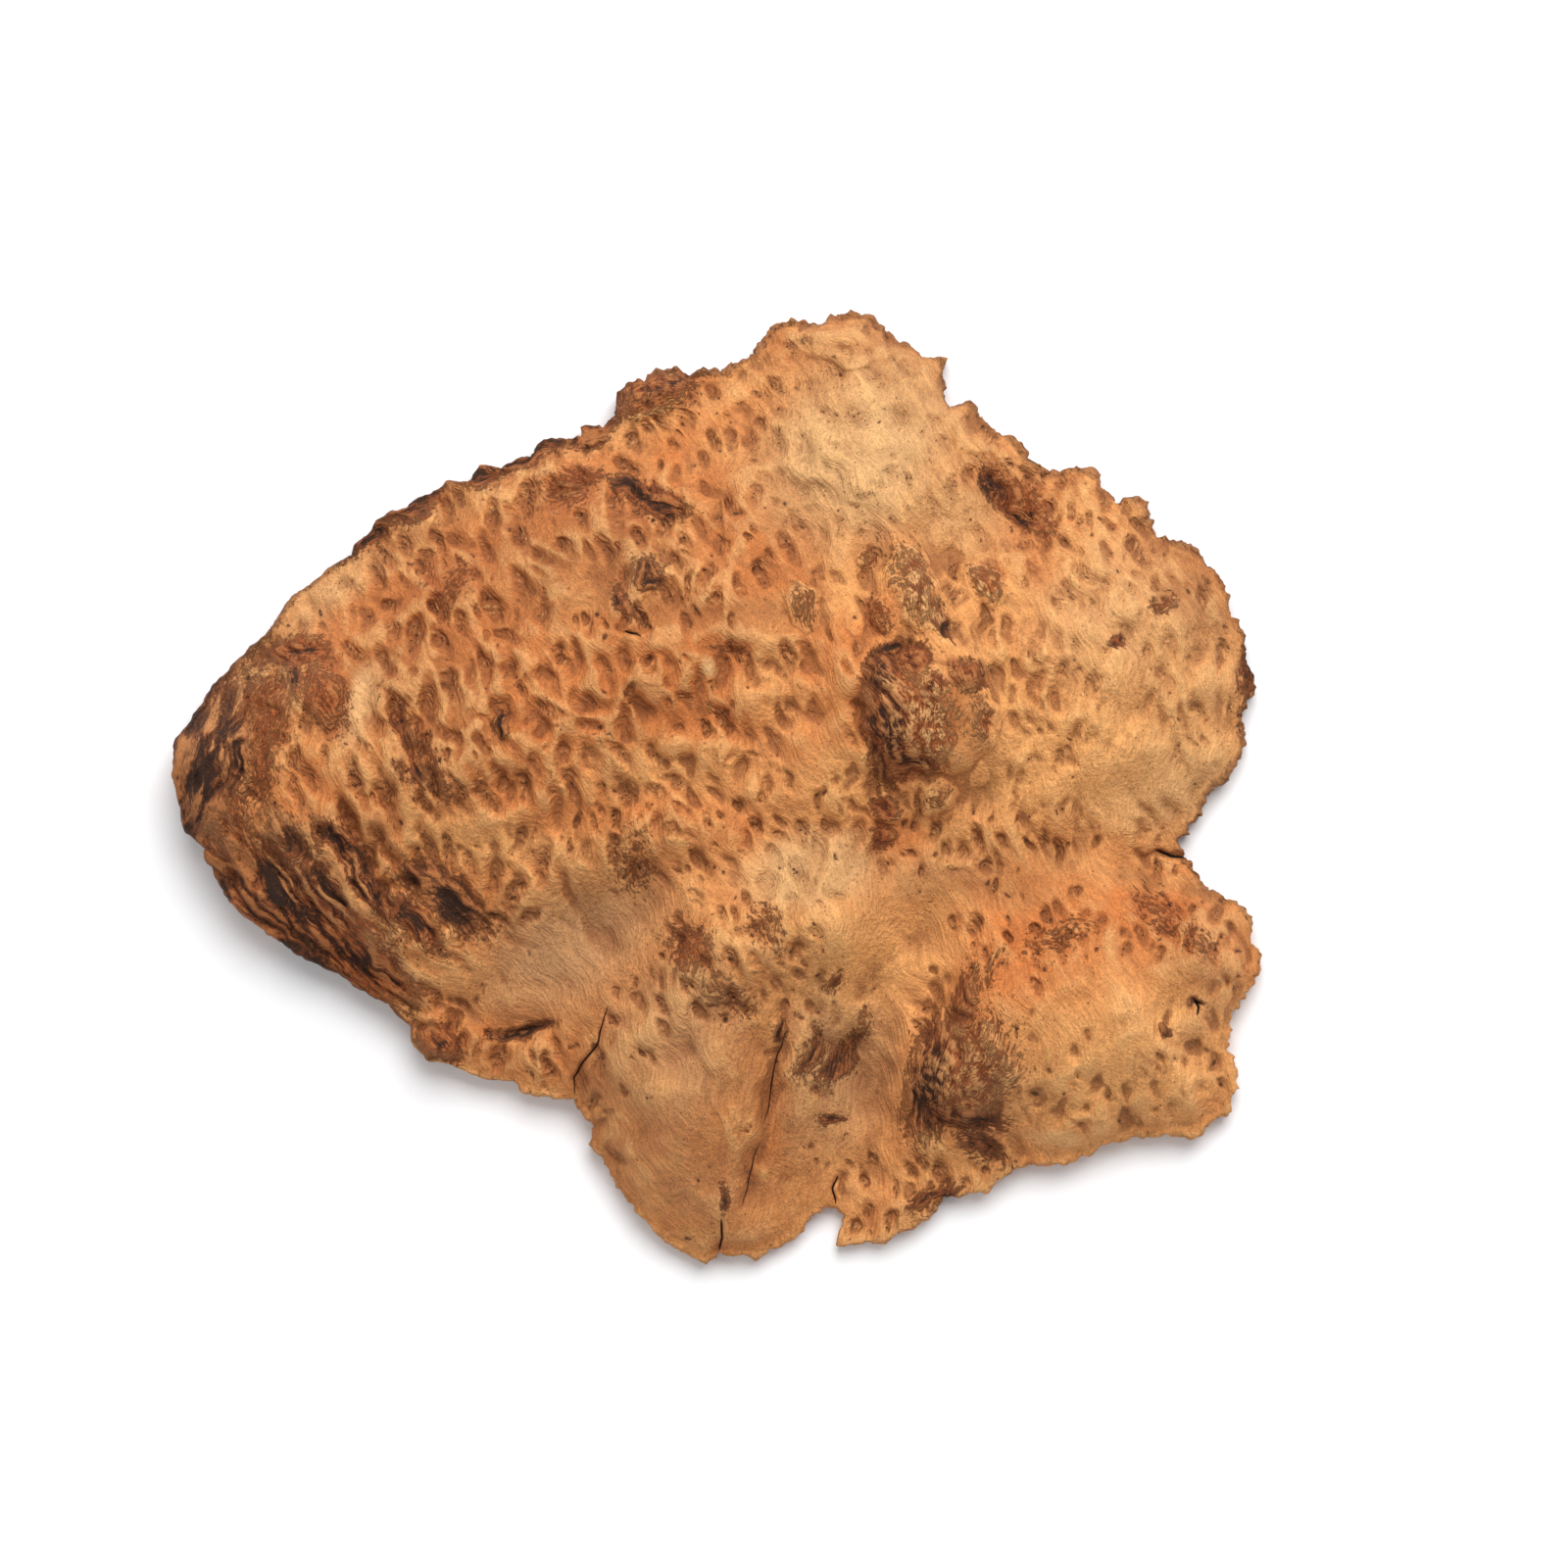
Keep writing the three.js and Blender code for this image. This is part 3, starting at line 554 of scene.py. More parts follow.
def line_field(line, x, y):
    """Signed distance from a line of view pixels, and how far along it as a share."""
    points = np.array([place(p) for p in line])
    steps = np.hypot(*np.diff(points, axis=0).T)
    total = steps.sum()
    gap = np.full(np.shape(x), np.inf)
    side = np.zeros(np.shape(x))
    share = np.zeros(np.shape(x))
    done = 0.0
    for a, b, length in zip(points, points[1:], steps):
        d = (b - a) / length
        t = np.clip((x - a[0]) * d[0] + (y - a[1]) * d[1], 0, length)
        ex, ey = x - a[0] - d[0] * t, y - a[1] - d[1] * t
        here = np.hypot(ex, ey)
        nearer = here < gap
        gap = np.where(nearer, here, gap)
        side = np.where(nearer, np.sign(d[0] * ey - d[1] * ex), side)
        share = np.where(nearer, (done + t) / total, share)
        done += length
    return gap * side, share


# What the frame says: the saw cut's outline, and the height of the solid's top
def sawn_outline(node):
    """The corners of the flat underside, in order, counter-clockwise seen from above."""
    corners = [tuple(np.round(np.array(v.co) / MM, 3)) for v in node.data.vertices]
    sides = set()
    for face in node.data.polygons:
        ring = [corners[i] for i in face.vertices]
        if all(abs(c[2]) < CELL / 10 for c in ring):
            sides.update(zip(ring, ring[1:] + ring[:1]))
    following = {b: a for a, b in sides if (b, a) not in sides}
    start = min(following)
    loop = [start]
    while following[loop[-1]] != start:
        loop.append(following[loop[-1]])
    return np.array([c[:2] for c in loop])


def to_edge(x, y):
    """How deep places lie inside the outline, and the nearest point on it to each."""
    best = np.full(x.shape, np.inf)
    nx, ny = np.zeros(x.shape), np.zeros(x.shape)
    inside = np.zeros(x.shape, bool)
    for (ax, ay), (bx, by) in zip(outline, np.roll(outline, -1, axis=0)):
        dx, dy = bx - ax, by - ay
        t = np.clip(((x - ax) * dx + (y - ay) * dy) / (dx * dx + dy * dy), 0, 1)
        gap = np.hypot(x - ax - t * dx, y - ay - t * dy)
        nearer = gap < best
        best = np.where(nearer, gap, best)
        nx = np.where(nearer, ax + t * dx, nx)
        ny = np.where(nearer, ay + t * dy, ny)
        if ay != by:
            inside ^= ((ay > y) != (by > y)) & (x < ax + (y - ay) / (by - ay) * dx)
    return np.where(inside, best, -best), nx, ny


def frame_heights(node, x, y):
    """Height of the solid's top at each place, and where there is a solid at all."""
    verts = [v.co for v in node.data.vertices]
    faces = [tuple(f.vertices) for f in node.data.polygons]
    tree = BVHTree.FromPolygons(verts, faces)
    above = high[2] + 1
    heights = np.zeros(x.shape)
    solid = np.zeros(x.shape)
    for at in np.ndindex(x.shape):
        hit = tree.ray_cast(Vector((x[at], y[at], above)) * MM, Vector((0, 0, -1)))
        if hit[0] is not None:
            heights[at] = hit[0].z / MM
            solid[at] = 1
    return heights, solid


cap_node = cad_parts["burl_cap"]
outline = sawn_outline(cap_node)


def smooth_base():
    """The solid's top with its facets smoothed away, carried on past the rim, and the depth map."""
    skip = round(COARSE / CELL)
    cx, cy = X[::skip, ::skip], Y[::skip, ::skip]
    heights, solid = frame_heights(cap_node, cx, cy)
    depth = to_edge(cx, cy)[0]

    def smoothed(radius):
        return blur(heights * solid, radius, COARSE) / np.maximum(blur(solid, radius, COARSE), 1e-6)

    crisp, soft = smoothed(1.6), smoothed(3.6)
    inner = ramp(depth, 3, 14)
    base = np.where(depth > -4, crisp + (soft - crisp) * inner, 0)
    return sample(base, X, Y, COARSE), sample(depth, X, Y, COARSE)


base_map, depth_map = smooth_base()

# Warped coordinates, so that no patch has an even edge
WARP_X = X + 2.6 * rough(X, Y, 15, SEEDS["warp_x"]) + 1.3 * noise(X, Y, 4.5, SEEDS["fine_warp_x"])
WARP_Y = Y + 2.6 * rough(X, Y, 15, SEEDS["warp_y"]) + 1.3 * noise(X, Y, 4.5, SEEDS["fine_warp_y"])


def window(x, y, reach):
    """The part of the map within reach of a place."""
    i0, i1 = np.searchsorted(xs, (x - reach, x + reach))
    j0, j1 = np.searchsorted(ys, (y - reach, y + reach))
    return slice(j0, j1), slice(i0, i1)


def along_across(part, x, y, turn):
    """Distances from a place along a direction and across it, over a part of the map."""
    dx, dy = WARP_X[part] - x, WARP_Y[part] - y
    c, s = math.cos(math.radians(turn)), math.sin(math.radians(turn))
    return dx * c + dy * s, dy * c - dx * s


def patch_share(feature):
    """The part of the map that a soft patch covers, and its share from 0 to 1 there."""
    part = window(*place(feature["at"]), PATCH_REACH * max(feature["long"], feature["wide"]) + 6)
    return part, np.exp(-0.7 * spread(feature, WARP_X[part], WARP_Y[part]) ** 1.3)


def patches(features, key):
    """The strongest of a set of soft patches at each place."""
    total = np.zeros(X.shape)
    for feature in features:
        part, share = patch_share(feature)
        total[part] = np.maximum(total[part], feature[key] * share)
    return total


bark_map = patches(BARK, "dark")
red_map = patches([{**b, "red": b["red"] * b["dark"]} for b in BARK], "red")
tone_maps = {name: patches(features, "much") for name, features in TONES.items()}


def grain_coordinates(x, y):
    """Coordinates along and across the fibres, which swirl round every swelling."""
    turn = math.radians(FLOW_TURN)
    wx = x + 8.0 * rough(x, y, 44, SEEDS["swirl_x"], 3) + 2.4 * noise(x, y, 9, SEEDS["fine_swirl_x"])
    wy = y + 8.0 * rough(x, y, 44, SEEDS["swirl_y"], 3) + 2.4 * noise(x, y, 9, SEEDS["fine_swirl_y"])
    along = wx * math.cos(turn) + wy * math.sin(turn)
    across = wy * math.cos(turn) - wx * math.sin(turn)
    return along, across


def strand_coordinates():
    """Coordinates along and across the bark's strands, which run the long way of each patch."""
    weight = np.full(X.shape, BARK_LEAST)
    along, across = weight * ALONG, weight * ACROSS
    for patch in BARK:
        part, share = patch_share(patch)
        heavy = (patch["dark"] * share) ** 2
        turn = FLOW_TURN + (patch["turn"] - FLOW_TURN + 90) % 180 - 90
        mx, my = place(patch["at"])
        u, v = along_across(part, mx, my, turn)
        middle = np.array([mx]), np.array([my])
        along[part] += heavy * (u + sample(ALONG, *middle)[0])
        across[part] += heavy * (v + sample(ACROSS, *middle)[0])
        weight[part] += heavy
    return along / weight, across / weight


# Buds grow in groups, with rivers of bare wood flowing between them
ALONG, ACROSS = grain_coordinates(X, Y)
STRAND_ALONG, STRAND_ACROSS = strand_coordinates()
group_map = rough(ALONG / 1.7, ACROSS, 19, SEEDS["groups"], 2)
river_map = 0.8 - 0.8 * ramp(np.abs(group_map), 0.03, 0.24)
river_relief = 0.8 * river_map
for river in RIVERS:
    gap, share = line_field(river["line"], WARP_X, WARP_Y)
    there = np.exp(-((gap / river["width"]) ** 2)) * np.clip(1 - np.abs(2 * share - 1) ** 6, 0, 1)
    river_map = np.maximum(river_map, there)
    bark_map *= 1 - 0.85 * there
    river_relief = np.maximum(river_relief, river["height"] * there)
rise_y, rise_x = np.gradient(ALONG, CELL)
flow_turn_map = np.degrees(np.arctan2(rise_y, rise_x)) - FLOW_TURN


def pod_style(x, y):
    """The sizes of a pod at a place, blended from the styles around it."""
    gaps = [math.dist(place(s["at"]), (x, y)) for s in POD_STYLES]
    weights = np.array([1 / (gap + STYLE_BLEND) ** 3 for gap in gaps])
    weights /= weights.sum()
    keys = ("length", "width", "depth", "turn")
    return {k: float(weights @ [s[k] for s in POD_STYLES]) for k in keys}


# The right-hand lobes have their buds in smaller groups, further apart
gap_map = ramp(X, 35, 70) * ramp(noise(WARP_X, WARP_Y, 15, SEEDS["gaps"]), 0.05, -0.3)
gap_map *= 1 - patches(BUDDED, "share")
bare_map = np.zeros(X.shape)
for bare_place in SMOOTH:
    share = bare_place["share"] * np.exp(-0.7 * spread(bare_place, WARP_X, WARP_Y) ** 2)
    bare_map = np.maximum(bare_map, share)


def bareness(x, y):
    """How far a place is one of those with no buds, from 0 to 1."""
    at = np.array([x]), np.array([y])
    return max(sample(bare_map, *at)[0], sample(gap_map, *at)[0], 0.9 * sample(river_map, *at)[0])


def scatter_pods():
    """Pods packed close together, the largest first, with few in the bare places."""
    draw = np.random.default_rng(POD_SEED)
    pods = []
    middles, sizes = np.zeros((0, 2)), np.zeros((0, 2))
    for k in range(POD_TRIES):
        x, y = draw.uniform(low[0], high[0]), draw.uniform(low[1], high[1])
        chance, tilt, stain = draw.random(3)
        at = np.array([x]), np.array([y])
        bare = bareness(x, y)
        if sample(depth_map, *at)[0] < POD_FROM_RIM or chance < bare * 1.2:
            continue
        style = pod_style(x, y)
        grown = (POD_GROWTH["first"] - POD_GROWTH["fall"] * k / POD_TRIES) * (1 - 0.4 * bare)
        length, width, depth = (style[key] * scale * grown for key, scale in POD_SCALE.items())
        turn = style["turn"] + POD_TILT * (tilt - 0.5) + sample(flow_turn_map, *at)[0]
        c, s = math.cos(math.radians(turn)), math.sin(math.radians(turn))
        dx, dy = x - middles[:, 0], y - middles[:, 1]
        along = (dx * c + dy * s) / (length + sizes[:, 0])
        across = (dy * c - dx * s) / (width + sizes[:, 1])
        if (along**2 + across**2 < POD_ROOM**2).any():
            continue
        middles, sizes = np.vstack([middles, (x, y)]), np.vstack([sizes, (length, width)])
        pod = {"x": x, "y": y, "turn": turn, "stain": stain}
        pod.update({"length": length, "width": width, "depth": depth})
        pods.append(pod)
    return pods


def sink_pods(pods):
    """Hollows with a steep upper end and an open lower one, their brown stain darkened towards the upper
    end as painted shade, and the dark eyes in some, set at the upper end as dark pits with painted shade.
    """
    relief, brown, eye = (np.zeros(X.shape) for _ in range(3))
    for pod in pods:
        length, width = pod["length"], pod["width"]
        part = window(pod["x"], pod["y"], 2.2 * length + 3)
        along, across = along_across(part, pod["x"], pod["y"], pod["turn"])
        reach = np.where(along < 0, 0.85 * length, 1.2 * length)
        far = (along / reach) ** 2 + (across / width) ** 2
        hollow = np.exp(-0.9 * far**1.5)
        down = np.clip(0.5 + 0.5 * along / length, 0, 1)
        relief[part] = np.minimum(relief[part], -pod["depth"] * hollow * (1.2 - 0.75 * down))
        # The brown is the pod's stain, darker towards the upper end as painted shade under the upper wall.
        brown[part] = np.maximum(brown[part], (0.4 + 0.6 * pod["stain"]) * hollow * (1.15 - 0.8 * down))
        # The eye is a dark pit at the upper end, with painted shade under the upper wall.
        head = ((along + 0.3 * length) / (0.3 * length)) ** 2 + (across / (0.4 * width)) ** 2
        eye[part] = np.maximum(eye[part], ramp(pod["stain"], 0.5, 0.95) * np.exp(-head))
    return relief, brown, eye


def sink_pinholes():
    """Pin-sized holes, most of them where the pods are."""
    draw = np.random.default_rng(POD_SEED + 1)
    pits = np.zeros(X.shape)
    for _ in range(PINHOLE_TRIES):
        x, y = draw.uniform(low[0], high[0]), draw.uniform(low[1], high[1])
        chance, big, tilt = draw.random(3)
        at = np.array([x]), np.array([y])
        if sample(depth_map, *at)[0] < 1 or chance > 0.06 + 0.9 * sample(brown_and_shade_map, *at)[0]:
            continue
        size = 0.45 + 0.55 * big * big
        part = window(x, y, 3 * size)
        along, across = along_across(part, x, y, FLOW_TURN + 60 * (tilt - 0.5))
        hole = (along / (1.4 * size)) ** 2 + (across / size) ** 2
        pits[part] = np.maximum(pits[part], np.exp(-hole))
    return pits


pod_relief, brown_and_shade_map, eye_and_shade_map = sink_pods(scatter_pods())
pit_map = sink_pinholes()


def cells(u, v, size, seed):
    """Distance from the nearest of a jittered lattice of points, and a share drawn for that point."""
    draw = np.random.default_rng(seed).random((3, NOISE_TABLE, NOISE_TABLE))
    gu, gv = u / size, v / size
    iu, iv = np.floor(gu).astype(int), np.floor(gv).astype(int)
    best, share = np.full(u.shape, np.inf), np.zeros(u.shape)
    for i in (-1, 0, 1):
        for j in (-1, 0, 1):
            at = ((iv + j) % NOISE_TABLE, (iu + i) % NOISE_TABLE)
            gap = np.hypot(iu + i + draw[0][at] - gu, iv + j + draw[1][at] - gv)
            nearer = gap < best
            best = np.where(nearer, gap, best)
            share = np.where(nearer, draw[2][at], share)
    return best, share


def knob_fields():
    """How high the knobs stand, and where they are."""
    height, there = np.zeros(X.shape), np.zeros(X.shape)
    for knob in KNOBS:
        reach = spread(knob, WARP_X, WARP_Y)
        height = np.maximum(height, knob["height"] * np.clip(1 - reach, 0, 1) ** 0.4)
        there = np.maximum(there, ramp(reach, 1.2, 0.7))
    return height, there


def finish_relief():
    """The height of the natural surface with all its detail, its hollows, and the bark's crests."""
    fibre = rough(ALONG / FIBRE["longer"], ACROSS, FIBRE["across"], SEEDS["fibre"], 3)
    lumps = rough(X, Y, LUMPS["across"], SEEDS["lumps"], 3)
    swell = SWELL["height"] * rough(X, Y, SWELL["across"], SEEDS["swell"], 3)
    swell = swell + BULGE["height"] * noise(WARP_X, WARP_Y, BULGE["across"], SEEDS["bulge"])
    folds = rough(ALONG / CREASES["longer"], ACROSS, CREASES["across"], SEEDS["creases"], 3)
    crease = np.clip(1 - 7 * np.abs(folds), 0, 1) * (1 - river_map)
    knobs, knobby = knob_fields()
    nodule = 1 - 1.5 * cells(ALONG / NODULES["longer"], ACROSS, NODULES["across"], SEEDS["nodules"])[0]
    strips = rough(STRAND_ALONG / SCABS["longer"], STRAND_ACROSS, SCABS["across"], SEEDS["scabs"], 3)
    scabs = 2.2 * np.clip(1.8 * np.abs(strips), 0, 1) - 1
    scabs += knobby * (nodule - scabs)
    crease *= (1 - bare_map) * (1 - 0.75 * tone_maps["pale"])
    inner = ramp(depth_map, 0, 6)
    bead = cells(ALONG / BEADS["longer"], ACROSS, BEADS["across"], SEEDS["beads"])[0]
    beads = brown_and_shade_map * (1.2 - 2.2 * bead)
    ground = base_map + inner * (pod_relief + BEADS["height"] * beads + swell)
    ground += inner * (river_relief - PINHOLE_DEPTH * pit_map - CREASES["depth"] * crease)
    ground += knobs
    for knob in EASED:
        ground -= knob["drop"] * np.exp(-(spread(knob, X, Y) ** 1.5))
    for furrow in FURROWS:
        gap, share = line_field(furrow["line"], WARP_X, WARP_Y)
        taper = np.clip(1 - np.abs(2 * share - 1) ** 4, 0, 1)
        ground -= furrow["depth"] * taper * np.exp(-((gap / furrow["width"]) ** 2))
    barky = ramp(bark_map, 0.2, 0.7)
    scaly = SCABS["height"] * scabs + LUMPS["bark"] * lumps
    ground += LUMPS["height"] * lumps + FIBRE["height"] * fibre + barky * scaly
    hollow = 0.5 * (blur(ground, 1.6) - ground) + 0.5 * (blur(ground, 4) - ground)
    return ground, np.clip(hollow, -2, 2), scabs, crease


relief_map, hollow_map, scab_map, crease_map = finish_relief()
swirl_map = blur(relief_map, 1.2) - blur(relief_map, 7)


def crack_fields(x, y):
    """Signed distance from the nearest crack, and that crack's half width there."""
    side, width = np.full(x.shape, CRACK_REACH), np.zeros(x.shape)
    wx, wy = x + 0.5 * noise(x, y, 4, SEEDS["crack_x"]), y + 0.5 * noise(x, y, 4, SEEDS["crack_y"])
    for crack in CRACKS:
        gap, share = line_field(crack["line"], wx, wy)
        nearer = np.abs(gap) < np.abs(side)
        side = np.where(nearer, gap, side)
        width = np.where(nearer, crack["width"] * (1 - np.abs(2 * share - 1) ** 3), width)
    return side, width


# The closed mesh of the cap: grid on top, rings down the natural edge, flat saw cut below
def kept_cells(inside):
    """The grid cells that lie wholly inside, as one patch that nowhere hangs by a corner."""
    cell = inside[:-1, :-1] & inside[1:, :-1] & inside[:-1, 1:] & inside[1:, 1:]
    while True:
        a, b, c, d = cell[:-1, :-1], cell[:-1, 1:], cell[1:, :-1], cell[1:, 1:]
        rising, falling = a & d & ~b & ~c, b & c & ~a & ~d
        if not (rising.any() or falling.any()):
            break
        cell[:-1, :-1] &= ~rising
        cell[:-1, 1:] &= ~falling
    patch = np.zeros(cell.shape, bool)
    patch[cell.shape[0] // 2, cell.shape[1] // 2] = True
    while True:
        grown = patch.copy()
        grown[1:] |= patch[:-1]
        grown[:-1] |= patch[1:]
        grown[:, 1:] |= patch[:, :-1]
        grown[:, :-1] |= patch[:, 1:]
        grown &= cell
        if (grown == patch).all():
            return patch
        patch = grown


def rim_loop(cell):
    """The grid points round the patch, counter-clockwise, as row and column numbers."""
    padded = np.pad(cell, 1)
    following = {}
    for j, i in zip(*np.nonzero(cell)):
        if not padded[j, i + 1]:
            following[(j, i)] = (j, i + 1)
        if not padded[j + 1, i + 2]:
            following[(j, i + 1)] = (j + 1, i + 1)
        if not padded[j + 2, i + 1]:
            following[(j + 1, i + 1)] = (j + 1, i)
        if not padded[j + 1, i]:
            following[(j + 1, i)] = (j, i)
    start = min(following)
    loop = [start]
    while following[loop[-1]] != start:
        loop.append(following[loop[-1]])
    return np.array(loop)


def smooth_loop(values, times):
    for _ in range(times):
        values = (2 * values + np.roll(values, 1, axis=0) + np.roll(values, -1, axis=0)) / 4
    return values


def raggedness(x, y):
    """How far the rim stands out or is broken back, most at the crown, the right and the south."""
    wild = 0.4 + ramp(x + y, 20, 70) + 0.5 * ramp(y, -80, -120)
    flaps = wild * (1.1 - 3.2 * np.abs(rough(x, y, FLAP_SIZE, SEEDS["flaps"], 4)))
    return flaps + (wild - 0.1) * (0.4 - 1.4 * np.abs(rough(x, y, TOOTH_SIZE, SEEDS["teeth"], 2)))


def fitted_grid():
    """Grid points drawn out to the ragged rim, with the patch of cells and the rim loop."""
    gx, gy = np.meshgrid(
        np.arange(low[0] - 2, high[0] + 2, MESH_STEP), np.arange(low[1] - 2, high[1] + 2, MESH_STEP)
    )
    depth = to_edge(gx, gy)[0]
    cell = kept_cells(depth > 0.3 * MESH_STEP)
    loop = rim_loop(cell)
    rim = (loop[:, 0], loop[:, 1])
    near = (depth < 5 * MESH_STEP) & (depth > 0)
    near[rim] = False
    near[0] = near[-1] = False
    near[:, 0] = near[:, -1] = False
    for turn in range(RIM_ROUNDS):
        bx, by = smooth_loop(gx[rim], 1), smooth_loop(gy[rim], 1)
        _, gx[rim], gy[rim] = to_edge(bx, by)
        if turn == RAGGED_FROM:
            ragged = raggedness(gx[rim], gy[rim])
            out = loop_normals(gx[rim], gy[rim])
            tooth = (ragged * out[:, 0], ragged * out[:, 1])
        if turn >= RAGGED_FROM:
            gx[rim] += tooth[0]
            gy[rim] += tooth[1]
        for grid in (gx, gy):
            mean = np.zeros(grid.shape)
            sums = grid[:-2, 1:-1] + grid[2:, 1:-1] + grid[1:-1, :-2] + grid[1:-1, 2:]
            mean[1:-1, 1:-1] = sums / 4
            grid[near] = mean[near]
    return gx, gy, cell, loop


def loop_normals(x, y):
    """Outward directions round a counter-clockwise loop."""
    dx = smooth_loop(np.roll(x, -1) - np.roll(x, 1), 6)
    dy = smooth_loop(np.roll(y, -1) - np.roll(y, 1), 6)
    size = np.maximum(np.hypot(dx, dy), 1e-9)
    return np.stack([dy / size, -dx / size], axis=1)


def wall_rings(x, y, z):
    """Rings of points from the rim down to the saw cut: a slight bulge, then an undercut."""
    out = loop_normals(x, y)
    rings = []
    for k in range(1, WALL_RINGS + 1):
        down = k / WALL_RINGS
        height = z * (1 - down)
        push = 0.07 * z * math.sin(math.pi * down) - 0.1 * z * down**2
        furrowed = rough(x + 0.8 * height, y - height, 5, SEEDS["wall"])
        push += 0.9 * math.sin(math.pi * min(1, 1.15 * down)) * furrowed
        rings.append(np.stack([x + push * out[:, 0], y + push * out[:, 1], height], axis=1))
    return rings


def burl_mesh():
    gx, gy, cell, loop = fitted_grid()
    used = np.zeros(gx.shape, bool)
    for dj in (0, 1):
        for di in (0, 1):
            used[dj : dj + cell.shape[0], di : di + cell.shape[1]] |= cell
    number = np.full(gx.shape, -1)
    number[used] = np.arange(used.sum())
    x, y = gx[used], gy[used]
    side, width = crack_fields(x, y)
    groove = CRACK_DEPTH * ramp(width, 0, 0.3) * np.exp(-((side / 0.7) ** 2))
    z = np.maximum(sample(relief_map, x, y) - groove, LEAST_HEIGHT)
    j, i = np.nonzero(cell)
    quads = np.stack([number[j, i], number[j, i + 1], number[j + 1, i + 1], number[j + 1, i]], axis=1)
    rim = number[loop[:, 0], loop[:, 1]]
    points = [np.stack([x, y, z], axis=1)]
    faces = quads.tolist()
    above = rim
    total = len(x)
    for ring in wall_rings(x[rim], y[rim], z[rim]):
        below = np.arange(total, total + len(rim))
        sides = np.stack([np.roll(above, -1), above, below, np.roll(below, -1)], axis=1)
        faces += sides.tolist()
        points.append(ring)
        above = below
        total += len(rim)
    faces.append(above[::-1].tolist())
    points = np.concatenate(points)
    mesh = bpy.data.meshes.new("burl")
    mesh.from_pydata((points * MM).tolist(), [], faces)
    mesh.polygons[len(faces) - 1].material_index = 1
    wall = mesh.attributes.new("wall", "FLOAT", "POINT")
    wall.data.foreach_set("value", (np.arange(len(points)) >= len(x)).astype(np.float32))
    return mesh


def thinned(mesh):
    """The mesh with fewer faces where it is smooth."""
    mesh.calc_loop_triangles()
    holder = add_object("holder", mesh)
    thin = holder.modifiers.new("thin", "DECIMATE")
    thin.ratio = MESH_TRIANGLES / len(mesh.loop_triangles)
    shown = holder.evaluated_get(bpy.context.evaluated_depsgraph_get())
    light = bpy.data.meshes.new_from_object(shown)
    bpy.data.objects.remove(holder)
    sawn = np.zeros(len(light.polygons), np.int32)
    light.polygons.foreach_get("material_index", sawn)
    light.polygons.foreach_set("use_smooth", sawn == 0)
    return light


def store_masks(mesh):
    """Everything that the finish needs to know about each point of the surface."""
    points = np.zeros(3 * len(mesh.vertices), np.float32)
    mesh.vertices.foreach_get("co", points)
    x, y, z = points.reshape(-1, 3).T.astype(float) / MM
    wall = np.zeros(len(x), np.float32)
    mesh.attributes["wall"].data.foreach_get("value", wall)
    side, width = crack_fields(x, y)
    along, across = grain_coordinates(x, y)
    across += 1.6 * sample(swirl_map, x, y)
    weathered = 0.4 + 0.6 * ramp(y, -90, -20)
    masks = {
        "bark": sample(bark_map, x, y),
        "scab": sample(scab_map, x, y),
        "red": sample(red_map, x, y),
        "brown": sample(brown_and_shade_map, x, y),
        "eye": sample(eye_and_shade_map, x, y),
        "crease": sample(crease_map, x, y),
        "cluster": ramp(np.abs(sample(group_map, x, y)), 0.2, 0.55) * (1 - sample(bare_map, x, y)),
        "pit": sample(pit_map, x, y),
        # The hollow mask drives painted shade in hollows and painted highlight on crests; the walls get a
        # little painted shade.
        "hollow": np.where(wall > 0.5, 0.2, sample(hollow_map, x, y)),
        "rim": np.maximum(wall, 1 - ramp(sample(depth_map, x, y), 0, 3)) * weathered,
        "crack_side": side,
        "crack_width": np.where(wall > 0.5, 0, width),
    }
    masks.update({name: sample(tone, x, y) for name, tone in tone_maps.items()})
    for name, values in masks.items():
        layer = mesh.attributes.new(name, "FLOAT", "POINT")
        layer.data.foreach_set("value", values.astype(np.float32))
    vectors = {
        "grain": (along, across, z),
        "strand": (sample(STRAND_ALONG, x, y), sample(STRAND_ACROSS, x, y), z),
    }
    for name, values in vectors.items():
        layer = mesh.attributes.new(name, "FLOAT_VECTOR", "POINT")
        layer.data.foreach_set("vector", np.stack(values, axis=1).astype(np.float32).ravel())


# Shader nodes
def srgb(red, green, blue):
    """A colour given as seen on screen, 0 to 255, as the shader wants it."""
    seen = (channel / 255 for channel in (red, green, blue))
    linear = (c / 12.92 if c <= 0.04045 else ((c + 0.055) / 1.055) ** 2.4 for c in seen)
    return (*linear, 1.0)


def put(tree, kind, sockets=None, **settings):
    """A new node with its settings, and its sockets set or linked."""
    node = tree.nodes.new(kind)
    for name, value in settings.items():
        setattr(node, name, value)
    for key, value in (sockets or {}).items():
        if isinstance(value, bpy.types.NodeSocket):
            tree.links.new(value, node.inputs[key])
        else:
            node.inputs[key].default_value = value
    return node


def maths(tree, operation, a, b=0.0):
    return put(tree, "ShaderNodeMath", {0: a, 1: b}, operation=operation).outputs[0]


def blend(tree, share, a, b, blend_type="MIX"):
    node = put(tree, "ShaderNodeMix", {0: share, 6: a, 7: b}, data_type="RGBA", blend_type=blend_type)
    return node.outputs[2]


def between(tree, value, start, end, low_end=0.0, high_end=1.0):
    sockets = {"Value": value, "From Min": start, "From Max": end, "To Min": low_end, "To Max": high_end}
    return put(tree, "ShaderNodeMapRange", sockets, interpolation_type="SMOOTHSTEP").outputs[0]


def scaled(tree, vector, factors):
    return put(tree, "ShaderNodeVectorMath", {0: vector, 1: factors}, operation="MULTIPLY").outputs[0]


